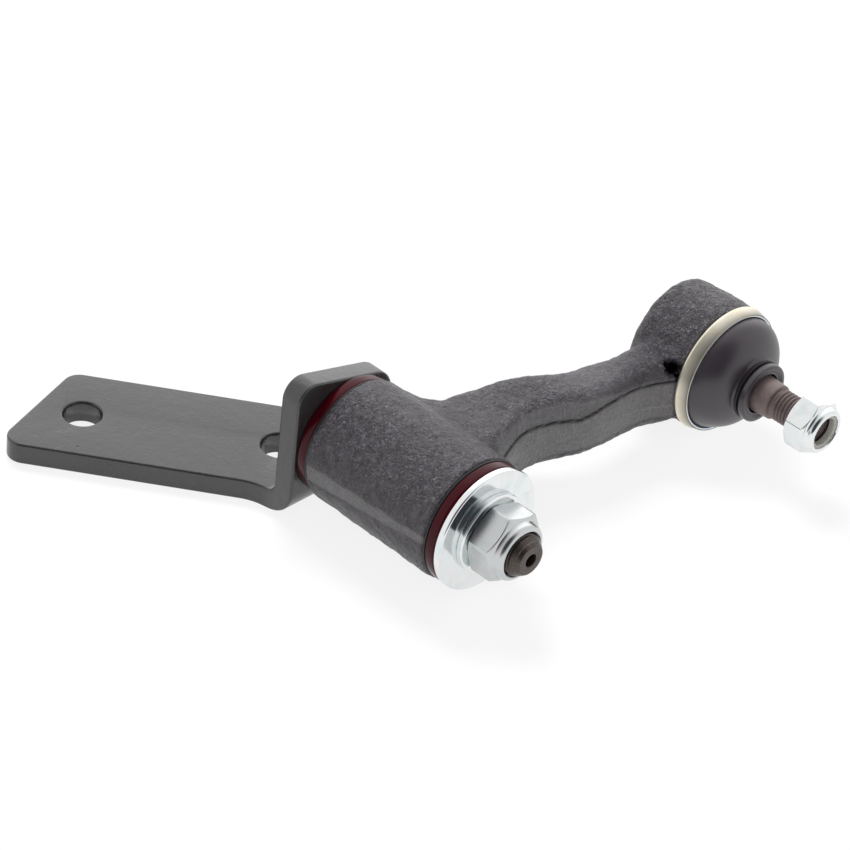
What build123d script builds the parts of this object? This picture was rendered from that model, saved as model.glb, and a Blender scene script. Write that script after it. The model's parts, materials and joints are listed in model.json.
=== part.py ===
from build123d import *
from math import atan2, cos, degrees, radians, sin, sqrt, tan
import os

# An idler arm for a recirculating-ball steering linkage, in millimetres.
# The origin is midway between the two frame bolt holes, on the leg's mounting face.
# +Z leaves the chassis, -Y is forward along the pivot axis, +X runs out along the arm.
# A station is a distance forward of the origin, measured along -Y.

os.makedirs("parts", exist_ok=True)

# bracket: one strip of plate with a mounting leg and an upright flange
plate_t = 8.4
plate_edge_r = 0.9
bend_r = 4.0
leg_w = 47.0
leg_turn = 37.3
leg_corner_r = 6.5
leg_end_margin = 17.5
leg_end_skew = 19.4
leg_root_r = 20.0
leg_heel_share = 0.33
frame_hole_d = 14.0
frame_hole_pitch = 71.0
leg_root_clear = 0.35
flange_left_w = 23.7
flange_right_w = 22.1
flange_reach = 22.2
flange_slope = 15.0
flange_left_corner_r = 7.0
flange_right_corner_r = 11.0

# pivot axis, square to the flange
pivot_x = 24.5
pivot_z = 28.9

# barrel of the arm and what runs in it
barrel_d = 47.0
barrel_len = 56.7
barrel_bore_d = 30.0
barrel_rim_r = 1.0
bush_len = 22.0
bush_flange_d = 45.6
bush_flange_t = 4.4
bush_lip_r = 1.2
seal_d = 46.0
seal_t = 0.7
seal_clear = 0.4
running_clear = 0.05

# pivot shaft, riveted into the flange
shaft_d = 22.0
shaft_neck_d = 20.0
shaft_head_d = 27.0
shaft_head_t = 4.0
shaft_end_past_nut = 4.0
shaft_chamfer = 2.2
shaft_centre_d = 5.0
shaft_centre_depth = 7.0
pivot_thread_d = 16.0
thread_clear = 0.1
washer_clear = 0.3

# washers and lock nuts
large_washer_d = 46.0
large_washer_t = 2.6
small_washer_d = 30.0
small_washer_t = 2.5
washer_edge_r = 0.5
pivot_nut_flats = 24.0
pivot_nut_hex_h = 10.0
pivot_nut_collar_h = 3.8
pivot_nut_collar_d = 21.5
link_nut_flats = 19.0
link_nut_hex_h = 8.8
link_nut_collar_h = 3.2
link_nut_collar_d = 17.4
nut_chamfer_angle = 30.0
nut_lip_t = 0.8
insert_wall = 1.5

# arm between the barrel and the ball housing
arm_len = 135.0
arm_edge_r = 6.0
flash_land = 3.0
barrel_blend_r = 7.0
housing_blend_r = 4.0

# ball housing, a tapered cup that opens forward
housing_len = 29.3
housing_behind_ball = 16.5
housing_rear_step = 2.2
housing_front_step = 2.4
housing_rear_r = 4.5
housing_floor_t = 2.7
housing_rim_d = 46.2
housing_rim_t = 3.8
cup_bore_d = 32.0
retainer_d = 36.0
retainer_t = 2.5
retainer_depth = 0.4
retainer_bore_d = 25.4

# ball, seats and stud
ball_offset = 12.25
ball_rise = 0.4
ball_d = 23.0
ball_clear = 0.08
pad_t = 1.2
seat_throat_d = 20.8
seat_mouth_d = 23.6
stud_neck_d = 14.0
ball_to_taper = 25.0
taper_len = 12.0
taper_start_d = 14.8
taper_end_d = 13.3
relief_d = 10.6
relief_len = 1.5
link_thread_d = 12.0
ball_to_link_nut = 47.9
stud_end_short = 3.9
link_insert_bore_d = 11.2

# rubber boot and the pressed ring that holds it
boot_wall = 1.6
boot_base_t = 0.8
boot_base_step = 1.6
boot_bulge = 2.6
boot_len = 17.3
boot_throat_d = 23.2
boot_groove_d = 20.0
boot_groove_len = 2.1
boot_collar_d = 22.8
boot_collar_len = 3.2
boot_collar_r = 1.0
soft_clear = 0.3
clip_wire_d = 1.2
ring_wall = 1.5
ring_front_wall = 0.6
ring_sheet = 0.9
ring_width = 4.9
ring_edge_r = 1.0
ring_lip_clear = 0.1

# the leg's front edge meets the flange's side, and the flange stands just past the rounded root
turn = radians(leg_turn)
flange_left = pivot_x - flange_left_w
flange_right = pivot_x + flange_right_w
front_root_along = (flange_left + leg_w / 2 * cos(turn)) / sin(turn)
root_station = front_root_along * cos(turn) + leg_w / 2 * sin(turn)
flange_back = root_station + leg_root_r * tan(turn / 2) + leg_root_clear
bend_start = flange_back - bend_r
flange_station = flange_back + plate_t

# stations along the pivot axis, from the flange forward
rear_flange_end = flange_station + bush_flange_t
barrel_rear = rear_flange_end + seal_t
barrel_front = barrel_rear + barrel_len
front_flange_start = barrel_front + seal_t
washer_station = front_flange_start + bush_flange_t
small_washer_station = washer_station + large_washer_t
pivot_nut_station = small_washer_station + small_washer_t
pivot_nut_end = pivot_nut_station + pivot_nut_hex_h + pivot_nut_collar_h
shaft_end = pivot_nut_end + shaft_end_past_nut

# places of the ball joint
ball_x = pivot_x + arm_len
ball_z = pivot_z + ball_rise
barrel_middle = barrel_rear + barrel_len / 2
ball_station = barrel_middle + ball_offset
housing_rear_station = ball_station - housing_behind_ball
housing_front_station = housing_rear_station + housing_len
housing_front_d = housing_rim_d + housing_front_step
housing_rear_d = housing_front_d - housing_rear_step
taper_start_station = ball_station + ball_to_taper
taper_end_station = taper_start_station + taper_len
link_nut_station = ball_station + ball_to_link_nut
ring_rear_station = housing_front_station + boot_base_t + ring_sheet - ring_width
link_nut_end = link_nut_station + link_nut_hex_h + link_nut_collar_h
stud_end = link_nut_end - stud_end_short
cup_floor_station = housing_rear_station + housing_floor_t
retainer_station = housing_front_station - retainer_depth - retainer_t

pivot_axis = Axis((pivot_x, 0, pivot_z), (0, -1, 0))
ball_axis = Axis((ball_x, 0, ball_z), (0, -1, 0))

# half sections through each axis: first coordinate is the station, second the radius
pivot_half = Plane(origin=(pivot_x, 0, pivot_z), x_dir=(0, -1, 0), z_dir=(-1, 0, 0))
ball_half = Plane(origin=(ball_x, 0, ball_z), x_dir=(0, -1, 0), z_dir=(-1, 0, 0))


def leg_point(along, across):
    """A plan point of the leg: along its length towards the bend, across towards +X."""
    return (along * sin(turn) + across * cos(turn), -along * cos(turn) + across * sin(turn))


# bracket plate
end_along = frame_hole_pitch / 2 + leg_end_margin
end_lean = leg_w / 2 * tan(radians(leg_end_skew))
heel_along = (flange_right - leg_w / 2 * cos(turn)) / sin(turn)
slope = radians(flange_slope)
heel_station = heel_along * cos(turn) - leg_w / 2 * sin(turn)
leg_heel_r = leg_heel_share * (bend_start - heel_station) / tan(turn / 2)


def flange_top(x):
    """Height of the flange's sloping top edge, which stands off the pivot axis by its reach."""
    return pivot_z + flange_reach / cos(slope) - (x - pivot_x) * tan(slope)


def is_outer_edge(edge):
    """Whether an edge of the plate can be rounded: it lies on the leg's top or the flange's face."""
    box = edge.bounding_box()
    on_leg_top = abs(box.min.Z - plate_t) < 0.001 and abs(box.max.Z - plate_t) < 0.001
    on_flange_face = abs(box.min.Y + flange_station) < 0.001 and abs(box.max.Y + flange_station) < 0.001
    return on_leg_top or on_flange_face


with BuildSketch(Plane.XY) as plate_plan:
    with BuildLine():
        Polyline(
            leg_point(-end_along - end_lean, -leg_w / 2),
            leg_point(-end_along + end_lean, leg_w / 2),
            leg_point(heel_along, leg_w / 2),
            (flange_right, -flange_station),
            (flange_left, -flange_station),
            leg_point(front_root_along, -leg_w / 2),
            close=True,
        )
    make_face()
    corners = plate_plan.vertices().sort_by_distance(leg_point(-end_along, 0))
    fillet(corners[:2], leg_corner_r)
    fillet(plate_plan.vertices().sort_by_distance(leg_point(heel_along, leg_w / 2))[0], leg_heel_r)
    fillet(plate_plan.vertices().sort_by_distance(leg_point(front_root_along, -leg_w / 2))[0], leg_root_r)

with BuildPart() as bracket_plate:
    bend_plane = Plane(origin=(flange_left - leg_root_r, -bend_start, plate_t + bend_r),
                       x_dir=(0, -1, 0), z_dir=(1, 0, 0))
    with BuildSketch(bend_plane):
        with BuildLine():
            CenterArc((0, 0), bend_r, 0, 90)
            CenterArc((0, 0), bend_r + plate_t, 0, 90)
            Line((bend_r, 0), (bend_r + plate_t, 0))
            Line((0, bend_r), (0, bend_r + plate_t))
        make_face()
    extrude(amount=flange_right - flange_left + leg_root_r)
    add(plate_plan.sketch)
    extrude(amount=plate_t + bend_r, mode=Mode.INTERSECT)
    with BuildSketch(Plane.XY):
        add(plate_plan.sketch)
        with Locations((pivot_x, -bend_start)):
            Rectangle(leg_w * 2, flange_station, align=(Align.CENTER, Align.MAX), mode=Mode.SUBTRACT)
    extrude(amount=plate_t)
    with BuildSketch(Plane.XZ.offset(flange_back)) as flange_outline:
        with BuildLine():
            Polyline(
                (flange_left, plate_t + bend_r),
                (flange_right, plate_t + bend_r),
                (flange_right, flange_top(flange_right)),
                (flange_left, flange_top(flange_left)),
                close=True,
            )
        make_face()
        fillet(flange_outline.vertices().sort_by_distance((flange_left, flange_top(flange_left)))[0],
               flange_left_corner_r)
        fillet(flange_outline.vertices().sort_by_distance((flange_right, flange_top(flange_right)))[0],
               flange_right_corner_r)
    extrude(amount=plate_t)
    with BuildSketch(Plane.XY) as frame_holes:
        with Locations(leg_point(-frame_hole_pitch / 2, 0), leg_point(frame_hole_pitch / 2, 0)):
            Circle(frame_hole_d / 2)
    extrude(amount=plate_t, mode=Mode.SUBTRACT)
    with BuildSketch(Plane.XZ.offset(flange_back)):
        with Locations((pivot_x, pivot_z)):
            Circle(shaft_neck_d / 2)
    extrude(amount=plate_t, mode=Mode.SUBTRACT)
    sheared = bracket_plate.edges().filter_by(lambda edge: edge.length > plate_t * 2)
    rounded = [edge for edge in sheared if is_outer_edge(edge)]
    fillet(rounded, plate_edge_r)
bracket_plate.part.label = "bracket_plate"
export_step(bracket_plate.part, "parts/bracket_plate.step")

# pivot shaft: riveted head, neck, running length, thread and centre hole
with BuildPart() as pivot_shaft:
    with BuildSketch(pivot_half):
        with BuildLine():
            Polyline(
                (flange_back - shaft_head_t, 0),
                (flange_back - shaft_head_t, shaft_head_d / 2 - shaft_head_t * 0.6),
                (flange_back - shaft_head_t * 0.4, shaft_head_d / 2),
                (flange_back, shaft_head_d / 2),
                (flange_back, shaft_neck_d / 2),
                (flange_station, shaft_neck_d / 2),
                (flange_station, shaft_d / 2),
                (washer_station, shaft_d / 2),
                (washer_station, pivot_thread_d / 2),
                (shaft_end - shaft_chamfer, pivot_thread_d / 2),
                (shaft_end, pivot_thread_d / 2 - shaft_chamfer),
                (shaft_end, shaft_centre_d / 2),
                (shaft_end - shaft_centre_depth, shaft_centre_d / 2),
                (shaft_end - shaft_centre_depth - shaft_centre_d / 3, 0),
                close=True,
            )
        make_face()
    revolve(axis=pivot_axis)
pivot_shaft.part.label = "pivot_shaft"
export_step(pivot_shaft.part, "parts/pivot_shaft.step")


def bush_profile(flange_face, towards):
    """Half section of a flanged bush: its flange face station and the way its sleeve runs."""
    flange_end = flange_face + towards * bush_flange_t
    sleeve_end = flange_end + towards * (seal_t + bush_len)
    bore_r = shaft_d / 2 + running_clear
    Polyline(
        (flange_face, bore_r),
        (sleeve_end, bore_r),
        (sleeve_end, barrel_bore_d / 2),
        (flange_end, barrel_bore_d / 2),
        (flange_end, bush_flange_d / 2),
        (flange_face, bush_flange_d / 2),
        close=True,
    )


with BuildPart() as rear_bush:
    with BuildSketch(pivot_half):
        with BuildLine():
            bush_profile(flange_station, 1)
        make_face()
    revolve(axis=pivot_axis)
    fillet(rear_bush.edges().filter_by(GeomType.CIRCLE).sort_by(SortBy.RADIUS)[-2:], bush_lip_r)
rear_bush.part.label = "rear_bush"
export_step(rear_bush.part, "parts/rear_bush.step")

with BuildPart() as front_bush:
    with BuildSketch(pivot_half):
        with BuildLine():
            bush_profile(washer_station, -1)
        make_face()
    revolve(axis=pivot_axis)
    fillet(front_bush.edges().filter_by(GeomType.CIRCLE).sort_by(SortBy.RADIUS)[-2:], bush_lip_r)
front_bush.part.label = "front_bush"
export_step(front_bush.part, "parts/front_bush.step")

# flat rubber seals between the barrel's ends and the bush flanges
with BuildPart() as rear_seal:
    with BuildSketch(Plane.XZ.offset(rear_flange_end)):
        with Locations((pivot_x, pivot_z)):
            Circle(seal_d / 2)
            Circle(barrel_bore_d / 2 + seal_clear, mode=Mode.SUBTRACT)
    extrude(amount=seal_t)
rear_seal.part.label = "rear_seal"
export_step(rear_seal.part, "parts/rear_seal.step")

with BuildPart() as front_seal:
    with BuildSketch(Plane.XZ.offset(barrel_front)):
        with Locations((pivot_x, pivot_z)):
            Circle(seal_d / 2)
            Circle(barrel_bore_d / 2 + seal_clear, mode=Mode.SUBTRACT)
    extrude(amount=seal_t)
front_seal.part.label = "front_seal"
export_step(front_seal.part, "parts/front_seal.step")

# washers under the pivot nut
with BuildPart() as large_washer:
    with BuildSketch(Plane.XZ.offset(washer_station)):
        with Locations((pivot_x, pivot_z)):
            Circle(large_washer_d / 2)
            Circle(pivot_thread_d / 2 + washer_clear, mode=Mode.SUBTRACT)
    extrude(amount=large_washer_t)
    fillet(large_washer.edges().filter_by(GeomType.CIRCLE).sort_by(SortBy.RADIUS)[-2:], washer_edge_r)
large_washer.part.label = "large_washer"
export_step(large_washer.part, "parts/large_washer.step")

with BuildPart() as small_washer:
    with BuildSketch(Plane.XZ.offset(small_washer_station)):
        with Locations((pivot_x, pivot_z)):
            Circle(small_washer_d / 2)
            Circle(pivot_thread_d / 2 + washer_clear, mode=Mode.SUBTRACT)
    extrude(amount=small_washer_t)
    fillet(small_washer.edges().filter_by(GeomType.CIRCLE).sort_by(SortBy.RADIUS)[-2:], washer_edge_r)
small_washer.part.label = "small_washer"
export_step(small_washer.part, "parts/small_washer.step")


def nut_envelope(station, flats, hex_h, collar_h, collar_d):
    """Half section that a hexagon nut is turned to: chamfers at both ends and a rounded collar."""
    tip_r = flats / sqrt(3) + 1
    bevel = (tip_r - flats / 2) * tan(radians(nut_chamfer_angle))
    round_r = collar_h * 0.45
    hex_end = station + hex_h
    end = hex_end + collar_h
    Line((station, 0), (station, flats / 2))
    Line((station, flats / 2), (station + bevel, tip_r))
    Line((station + bevel, tip_r), (hex_end - bevel, tip_r))
    Line((hex_end - bevel, tip_r), (hex_end, flats / 2))
    Line((hex_end, flats / 2), (hex_end, collar_d / 2))
    Line((hex_end, collar_d / 2), (end - round_r, collar_d / 2))
    CenterArc((end - round_r, collar_d / 2 - round_r), round_r, 0, 90)
    Line((end, collar_d / 2 - round_r), (end, 0))
    Line((end, 0), (station, 0))


# pivot nut and its locking insert
pivot_insert_r = pivot_thread_d / 2 + insert_wall
pivot_insert_start = pivot_nut_station + pivot_nut_hex_h
with BuildPart() as pivot_nut:
    with BuildSketch(Plane.XZ.offset(pivot_nut_station)):
        with Locations((pivot_x, pivot_z)):
            RegularPolygon(pivot_nut_flats / 2, 6, major_radius=False, rotation=14)
    extrude(amount=pivot_nut_hex_h + pivot_nut_collar_h)
    with BuildSketch(pivot_half):
        with BuildLine():
            nut_envelope(pivot_nut_station, pivot_nut_flats, pivot_nut_hex_h,
                         pivot_nut_collar_h, pivot_nut_collar_d)
        make_face()
    revolve(axis=pivot_axis, mode=Mode.INTERSECT)
    with BuildSketch(pivot_half):
        with BuildLine():
            Polyline(
                (pivot_nut_station, 0),
                (pivot_nut_station, pivot_thread_d / 2 + thread_clear),
                (pivot_insert_start, pivot_thread_d / 2 + thread_clear),
                (pivot_insert_start, pivot_insert_r),
                (pivot_nut_end - nut_lip_t, pivot_insert_r),
                (pivot_nut_end - nut_lip_t, pivot_insert_r - nut_lip_t / 2),
                (pivot_nut_end, pivot_insert_r - nut_lip_t / 2),
                (pivot_nut_end, 0),
                close=True,
            )
        make_face()
    revolve(axis=pivot_axis, mode=Mode.SUBTRACT)
pivot_nut.part.label = "pivot_nut"
export_step(pivot_nut.part, "parts/pivot_nut.step")

with BuildPart() as pivot_nut_insert:
    with BuildSketch(Plane.XZ.offset(pivot_insert_start)):
        with Locations((pivot_x, pivot_z)):
            Circle(pivot_insert_r)
            Circle(pivot_thread_d / 2 + thread_clear, mode=Mode.SUBTRACT)
    extrude(amount=pivot_nut_collar_h - nut_lip_t)
pivot_nut_insert.part.label = "pivot_nut_insert"
export_step(pivot_nut_insert.part, "parts/pivot_nut_insert.step")

# The forged beam between its root in the barrel and its end in the housing: share of the arm's
# length, front and back faces forward of the barrel's middle, height above and below the axis.
beam_sections = [
    (0.07, 15.75, -17.25, 13.5, 16.5),
    (0.28, 12.05, -16.95, 12.5, 16.5),
    (0.385, 10.15, -14.75, 12.0, 16.5),
    (0.49, 13.75, -8.95, 12.0, 16.5),
    (0.565, 16.45, -2.55, 12.0, 16.5),
    (0.64, 16.85, 1.2, 12.0, 16.5),
    (0.74, 17.25, 1.2, 12.0, 16.5),
    (0.90, 18.25, 0.75, 12.5, 16.5),
]


def beam_section(front, back, top, bottom):
    """Forged section: flat flash lands at the parting plane, drafted sides, rounded corners."""
    draft = 1.2
    half_land = flash_land / 2
    Polyline(
        (-front, half_land),
        (-front + draft, top),
        (-back - draft, top),
        (-back, half_land),
        (-back, -half_land),
        (-back - draft, -bottom),
        (-front + draft, -bottom),
        (-front, -half_land),
        close=True,
    )


with BuildPart() as beam:
    for share, front, back, top, bottom in beam_sections:
        station_plane = Plane(origin=(pivot_x + share * arm_len, -barrel_middle, pivot_z),
                              x_dir=(0, 1, 0), z_dir=(1, 0, 0))
        with BuildSketch(station_plane) as section:
            with BuildLine():
                beam_section(front, back, top, bottom)
            make_face()
            outer = [corner for corner in section.vertices() if abs(corner.Z - pivot_z) > flash_land]
            fillet(outer, arm_edge_r)
    loft()

with BuildPart() as idler_arm:
    with BuildSketch(Plane.XZ.offset(barrel_rear)):
        with Locations((pivot_x, pivot_z)):
            Circle(barrel_d / 2)
    extrude(amount=barrel_len)
    with BuildSketch(ball_half):
        with BuildLine():
            Polyline(
                (housing_rear_station, 0),
                (housing_rear_station, housing_rear_d / 2),
                (housing_front_station, housing_front_d / 2),
                (housing_front_station, 0),
                close=True,
            )
        make_face()
    revolve(axis=ball_axis)
    rear_rim = idler_arm.edges().filter_by(GeomType.CIRCLE)
    fillet(rear_rim.sort_by_distance((ball_x, -housing_rear_station, ball_z))[0], housing_rear_r)
    add(beam.part)
    joins = idler_arm.edges(Select.NEW)
    middle_x = (pivot_x + ball_x) / 2
    root_points = [edge.center() for edge in joins if edge.center().X < middle_x]
    fillet([edge for edge in joins if edge.center().X > middle_x], housing_blend_r)
    root_edges = [
        edge for edge in idler_arm.edges()
        if min((edge.center() - point).length for point in root_points) < 0.001
    ]
    fillet(root_edges, barrel_blend_r)
    barrel_rims = idler_arm.edges().filter_by(GeomType.CIRCLE).filter_by(
        lambda edge: edge.length > barrel_d * 3 and edge.center().X < middle_x)
    fillet(barrel_rims, barrel_rim_r)
    with BuildSketch(ball_half) as rim_rebate:
        with BuildLine():
            Polyline(
                (housing_front_station - housing_rim_t, housing_rim_d / 2),
                (housing_front_station - housing_rim_t, housing_rim_d),
                (housing_front_station, housing_rim_d),
                (housing_front_station, housing_rim_d / 2),
                close=True,
            )
        make_face()
    revolve(axis=ball_axis, mode=Mode.SUBTRACT)
    with BuildSketch(Plane.XZ.offset(barrel_rear)):
        with Locations((pivot_x, pivot_z)):
            Circle(barrel_bore_d / 2)
    extrude(amount=barrel_len, mode=Mode.SUBTRACT)
    with BuildSketch(ball_half):
        with BuildLine():
            Polyline(
                (cup_floor_station, 0),
                (cup_floor_station, cup_bore_d / 2),
                (retainer_station, cup_bore_d / 2),
                (retainer_station, retainer_d / 2),
                (housing_front_station, retainer_d / 2),
                (housing_front_station, 0),
                close=True,
            )
        make_face()
    revolve(axis=ball_axis, mode=Mode.SUBTRACT)
idler_arm.part.label = "idler_arm"
export_step(idler_arm.part, "parts/idler_arm.step")

# ball stud: ball, neck, seat taper, relief and thread
neck_root = sqrt((ball_d / 2) ** 2 - (stud_neck_d / 2) ** 2)
with BuildPart() as ball_stud:
    with BuildSketch(ball_half):
        with BuildLine():
            ThreePointArc(
                (ball_station - ball_d / 2, 0),
                (ball_station, ball_d / 2),
                (ball_station + neck_root, stud_neck_d / 2),
            )
            Polyline(
                (ball_station + neck_root, stud_neck_d / 2),
                (taper_start_station - 1.5, stud_neck_d / 2),
                (taper_start_station, taper_start_d / 2),
                (taper_end_station, taper_end_d / 2),
                (taper_end_station + 0.6, relief_d / 2),
                (taper_end_station + relief_len, relief_d / 2),
                (taper_end_station + relief_len + 0.7, link_thread_d / 2),
                (stud_end - 1.0, link_thread_d / 2),
                (stud_end, link_thread_d / 2 - 1.0),
                (stud_end, 0),
                (ball_station - ball_d / 2, 0),
            )
        make_face()
    revolve(axis=ball_axis)
ball_stud.part.label = "ball_stud"
export_step(ball_stud.part, "parts/ball_stud.step")

# preload pad, rear seat, front seat and retainer inside the cup
seat_r = ball_d / 2 + ball_clear
with BuildPart() as preload_pad:
    with BuildSketch(Plane.XZ.offset(cup_floor_station)):
        with Locations((ball_x, ball_z)):
            Circle(cup_bore_d / 2)
    extrude(amount=pad_t)
preload_pad.part.label = "preload_pad"
export_step(preload_pad.part, "parts/preload_pad.step")

with BuildPart() as rear_seat:
    with BuildSketch(ball_half):
        with BuildLine():
            Line((cup_floor_station + pad_t, 0), (cup_floor_station + pad_t, cup_bore_d / 2))
            Line((cup_floor_station + pad_t, cup_bore_d / 2), (ball_station, cup_bore_d / 2))
            Line((ball_station, cup_bore_d / 2), (ball_station, seat_r))
            CenterArc((ball_station, 0), seat_r, 90, 90)
            Line((ball_station - seat_r, 0), (cup_floor_station + pad_t, 0))
        make_face()
    revolve(axis=ball_axis)
rear_seat.part.label = "rear_seat"
export_step(rear_seat.part, "parts/rear_seat.step")

throat = sqrt(seat_r ** 2 - (seat_throat_d / 2) ** 2)
throat_angle = degrees(atan2(seat_throat_d / 2, throat))
with BuildPart() as front_seat:
    with BuildSketch(ball_half):
        with BuildLine():
            Polyline(
                (ball_station, seat_r),
                (ball_station, cup_bore_d / 2),
                (retainer_station, cup_bore_d / 2),
                (retainer_station, seat_mouth_d / 2),
                (ball_station + throat, seat_throat_d / 2),
            )
            CenterArc((ball_station, 0), seat_r, throat_angle, 90 - throat_angle)
        make_face()
    revolve(axis=ball_axis)
front_seat.part.label = "front_seat"
export_step(front_seat.part, "parts/front_seat.step")

with BuildPart() as seat_retainer:
    with BuildSketch(Plane.XZ.offset(retainer_station)):
        with Locations((ball_x, ball_z)):
            Circle(retainer_d / 2)
            Circle(retainer_bore_d / 2, mode=Mode.SUBTRACT)
    extrude(amount=retainer_t)
seat_retainer.part.label = "seat_retainer"
export_step(seat_retainer.part, "parts/seat_retainer.step")


def dome_middle(start, end, bulge):
    """Point that the domed wall passes midway, bulged outwards from the straight line."""
    run = end[0] - start[0]
    rise = end[1] - start[1]
    length = sqrt(run ** 2 + rise ** 2)
    return ((start[0] + end[0]) / 2 - bulge * rise / length, (start[1] + end[1]) / 2 + bulge * run / length)


# dust boot: base flange, dome, clip groove and sealing collar
boot_base_front = housing_front_station + boot_base_t
throat_station = boot_base_front + boot_len - boot_groove_len - boot_collar_len
collar_start = throat_station + boot_groove_len
collar_end = collar_start + boot_collar_len
lip_r = taper_start_d / 2 + soft_clear
boot_base_r = (housing_rim_d - boot_base_step) / 2
dome_base = (boot_base_front, boot_base_r)
dome_throat = (throat_station, boot_throat_d / 2)
inner_base = (housing_front_station, boot_base_r - boot_wall)
inner_throat = (throat_station - boot_wall, lip_r)
with BuildPart() as dust_boot:
    with BuildSketch(ball_half):
        with BuildLine():
            Line(inner_base, (housing_front_station, housing_rim_d / 2))
            Line((housing_front_station, housing_rim_d / 2), (boot_base_front, housing_rim_d / 2))
            Line((boot_base_front, housing_rim_d / 2), dome_base)
            ThreePointArc(dome_base, dome_middle(dome_base, dome_throat, boot_bulge), dome_throat)
            Line(dome_throat, (throat_station, boot_groove_d / 2))
            Line((throat_station, boot_groove_d / 2), (collar_start, boot_groove_d / 2))
            Line((collar_start, boot_groove_d / 2), (collar_start, boot_collar_d / 2 - boot_collar_r))
            CenterArc((collar_start + boot_collar_r, boot_collar_d / 2 - boot_collar_r),
                      boot_collar_r, 90, 90)
            Line((collar_start + boot_collar_r, boot_collar_d / 2),
                 (collar_end - boot_collar_r, boot_collar_d / 2))
            CenterArc((collar_end - boot_collar_r, boot_collar_d / 2 - boot_collar_r),
                      boot_collar_r, 0, 90)
            Line((collar_end, boot_collar_d / 2 - boot_collar_r), (collar_end, lip_r))
            Line((collar_end, lip_r), inner_throat)
            ThreePointArc(inner_throat, dome_middle(inner_base, inner_throat, boot_bulge), inner_base)
        make_face()
    revolve(axis=ball_axis)
dust_boot.part.label = "dust_boot"
export_step(dust_boot.part, "parts/dust_boot.step")

# wire clip in the boot's groove
with BuildPart() as boot_clip:
    with BuildSketch(ball_half):
        with Locations((throat_station + boot_groove_len / 2,
                        boot_groove_d / 2 + soft_clear + clip_wire_d / 2)):
            Circle(clip_wire_d / 2)
    revolve(axis=ball_axis)
boot_clip.part.label = "boot_clip"
export_step(boot_clip.part, "parts/boot_clip.step")

# pressed ring over the housing rim and the boot's base
ring_front = boot_base_front + ring_sheet
ring_lip_r = boot_base_r + ring_lip_clear
ring_outer_r = housing_rim_d / 2 + ring_wall
ring_front_r = housing_rim_d / 2 + ring_front_wall
with BuildPart() as boot_ring:
    with BuildSketch(ball_half):
        with BuildLine():
            Polyline(
                (ring_rear_station, housing_rim_d / 2),
                (ring_rear_station, ring_outer_r),
                (ring_front, ring_front_r),
                (ring_front, ring_lip_r),
                (boot_base_front, ring_lip_r),
                (boot_base_front, housing_rim_d / 2),
                close=True,
            )
        make_face()
    revolve(axis=ball_axis)
    ring_edges = boot_ring.edges().filter_by(GeomType.CIRCLE)
    fillet(ring_edges.filter_by(lambda edge: abs(edge.radius - ring_front_r) < 0.001), ring_edge_r)
boot_ring.part.label = "boot_ring"
export_step(boot_ring.part, "parts/boot_ring.step")

# link nut and its locking insert
link_insert_r = link_thread_d / 2 + insert_wall
link_insert_start = link_nut_station + link_nut_hex_h
with BuildPart() as link_nut:
    with BuildSketch(Plane.XZ.offset(link_nut_station)):
        with Locations((ball_x, ball_z)):
            RegularPolygon(link_nut_flats / 2, 6, major_radius=False, rotation=52)
    extrude(amount=link_nut_hex_h + link_nut_collar_h)
    with BuildSketch(ball_half):
        with BuildLine():
            nut_envelope(link_nut_station, link_nut_flats, link_nut_hex_h,
                         link_nut_collar_h, link_nut_collar_d)
        make_face()
    revolve(axis=ball_axis, mode=Mode.INTERSECT)
    with BuildSketch(ball_half):
        with BuildLine():
            Polyline(
                (link_nut_station, 0),
                (link_nut_station, link_thread_d / 2 + thread_clear),
                (link_insert_start, link_thread_d / 2 + thread_clear),
                (link_insert_start, link_insert_r),
                (link_nut_end - nut_lip_t, link_insert_r),
                (link_nut_end - nut_lip_t, link_insert_r - nut_lip_t / 2),
                (link_nut_end, link_insert_r - nut_lip_t / 2),
                (link_nut_end, 0),
                close=True,
            )
        make_face()
    revolve(axis=ball_axis, mode=Mode.SUBTRACT)
link_nut.part.label = "link_nut"
export_step(link_nut.part, "parts/link_nut.step")

with BuildPart() as link_nut_insert:
    with BuildSketch(Plane.XZ.offset(link_insert_start)):
        with Locations((ball_x, ball_z)):
            Circle(link_insert_r)
            Circle(link_insert_bore_d / 2, mode=Mode.SUBTRACT)
    extrude(amount=link_nut_collar_h - nut_lip_t)
link_nut_insert.part.label = "link_nut_insert"
export_step(link_nut_insert.part, "parts/link_nut_insert.step")
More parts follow.
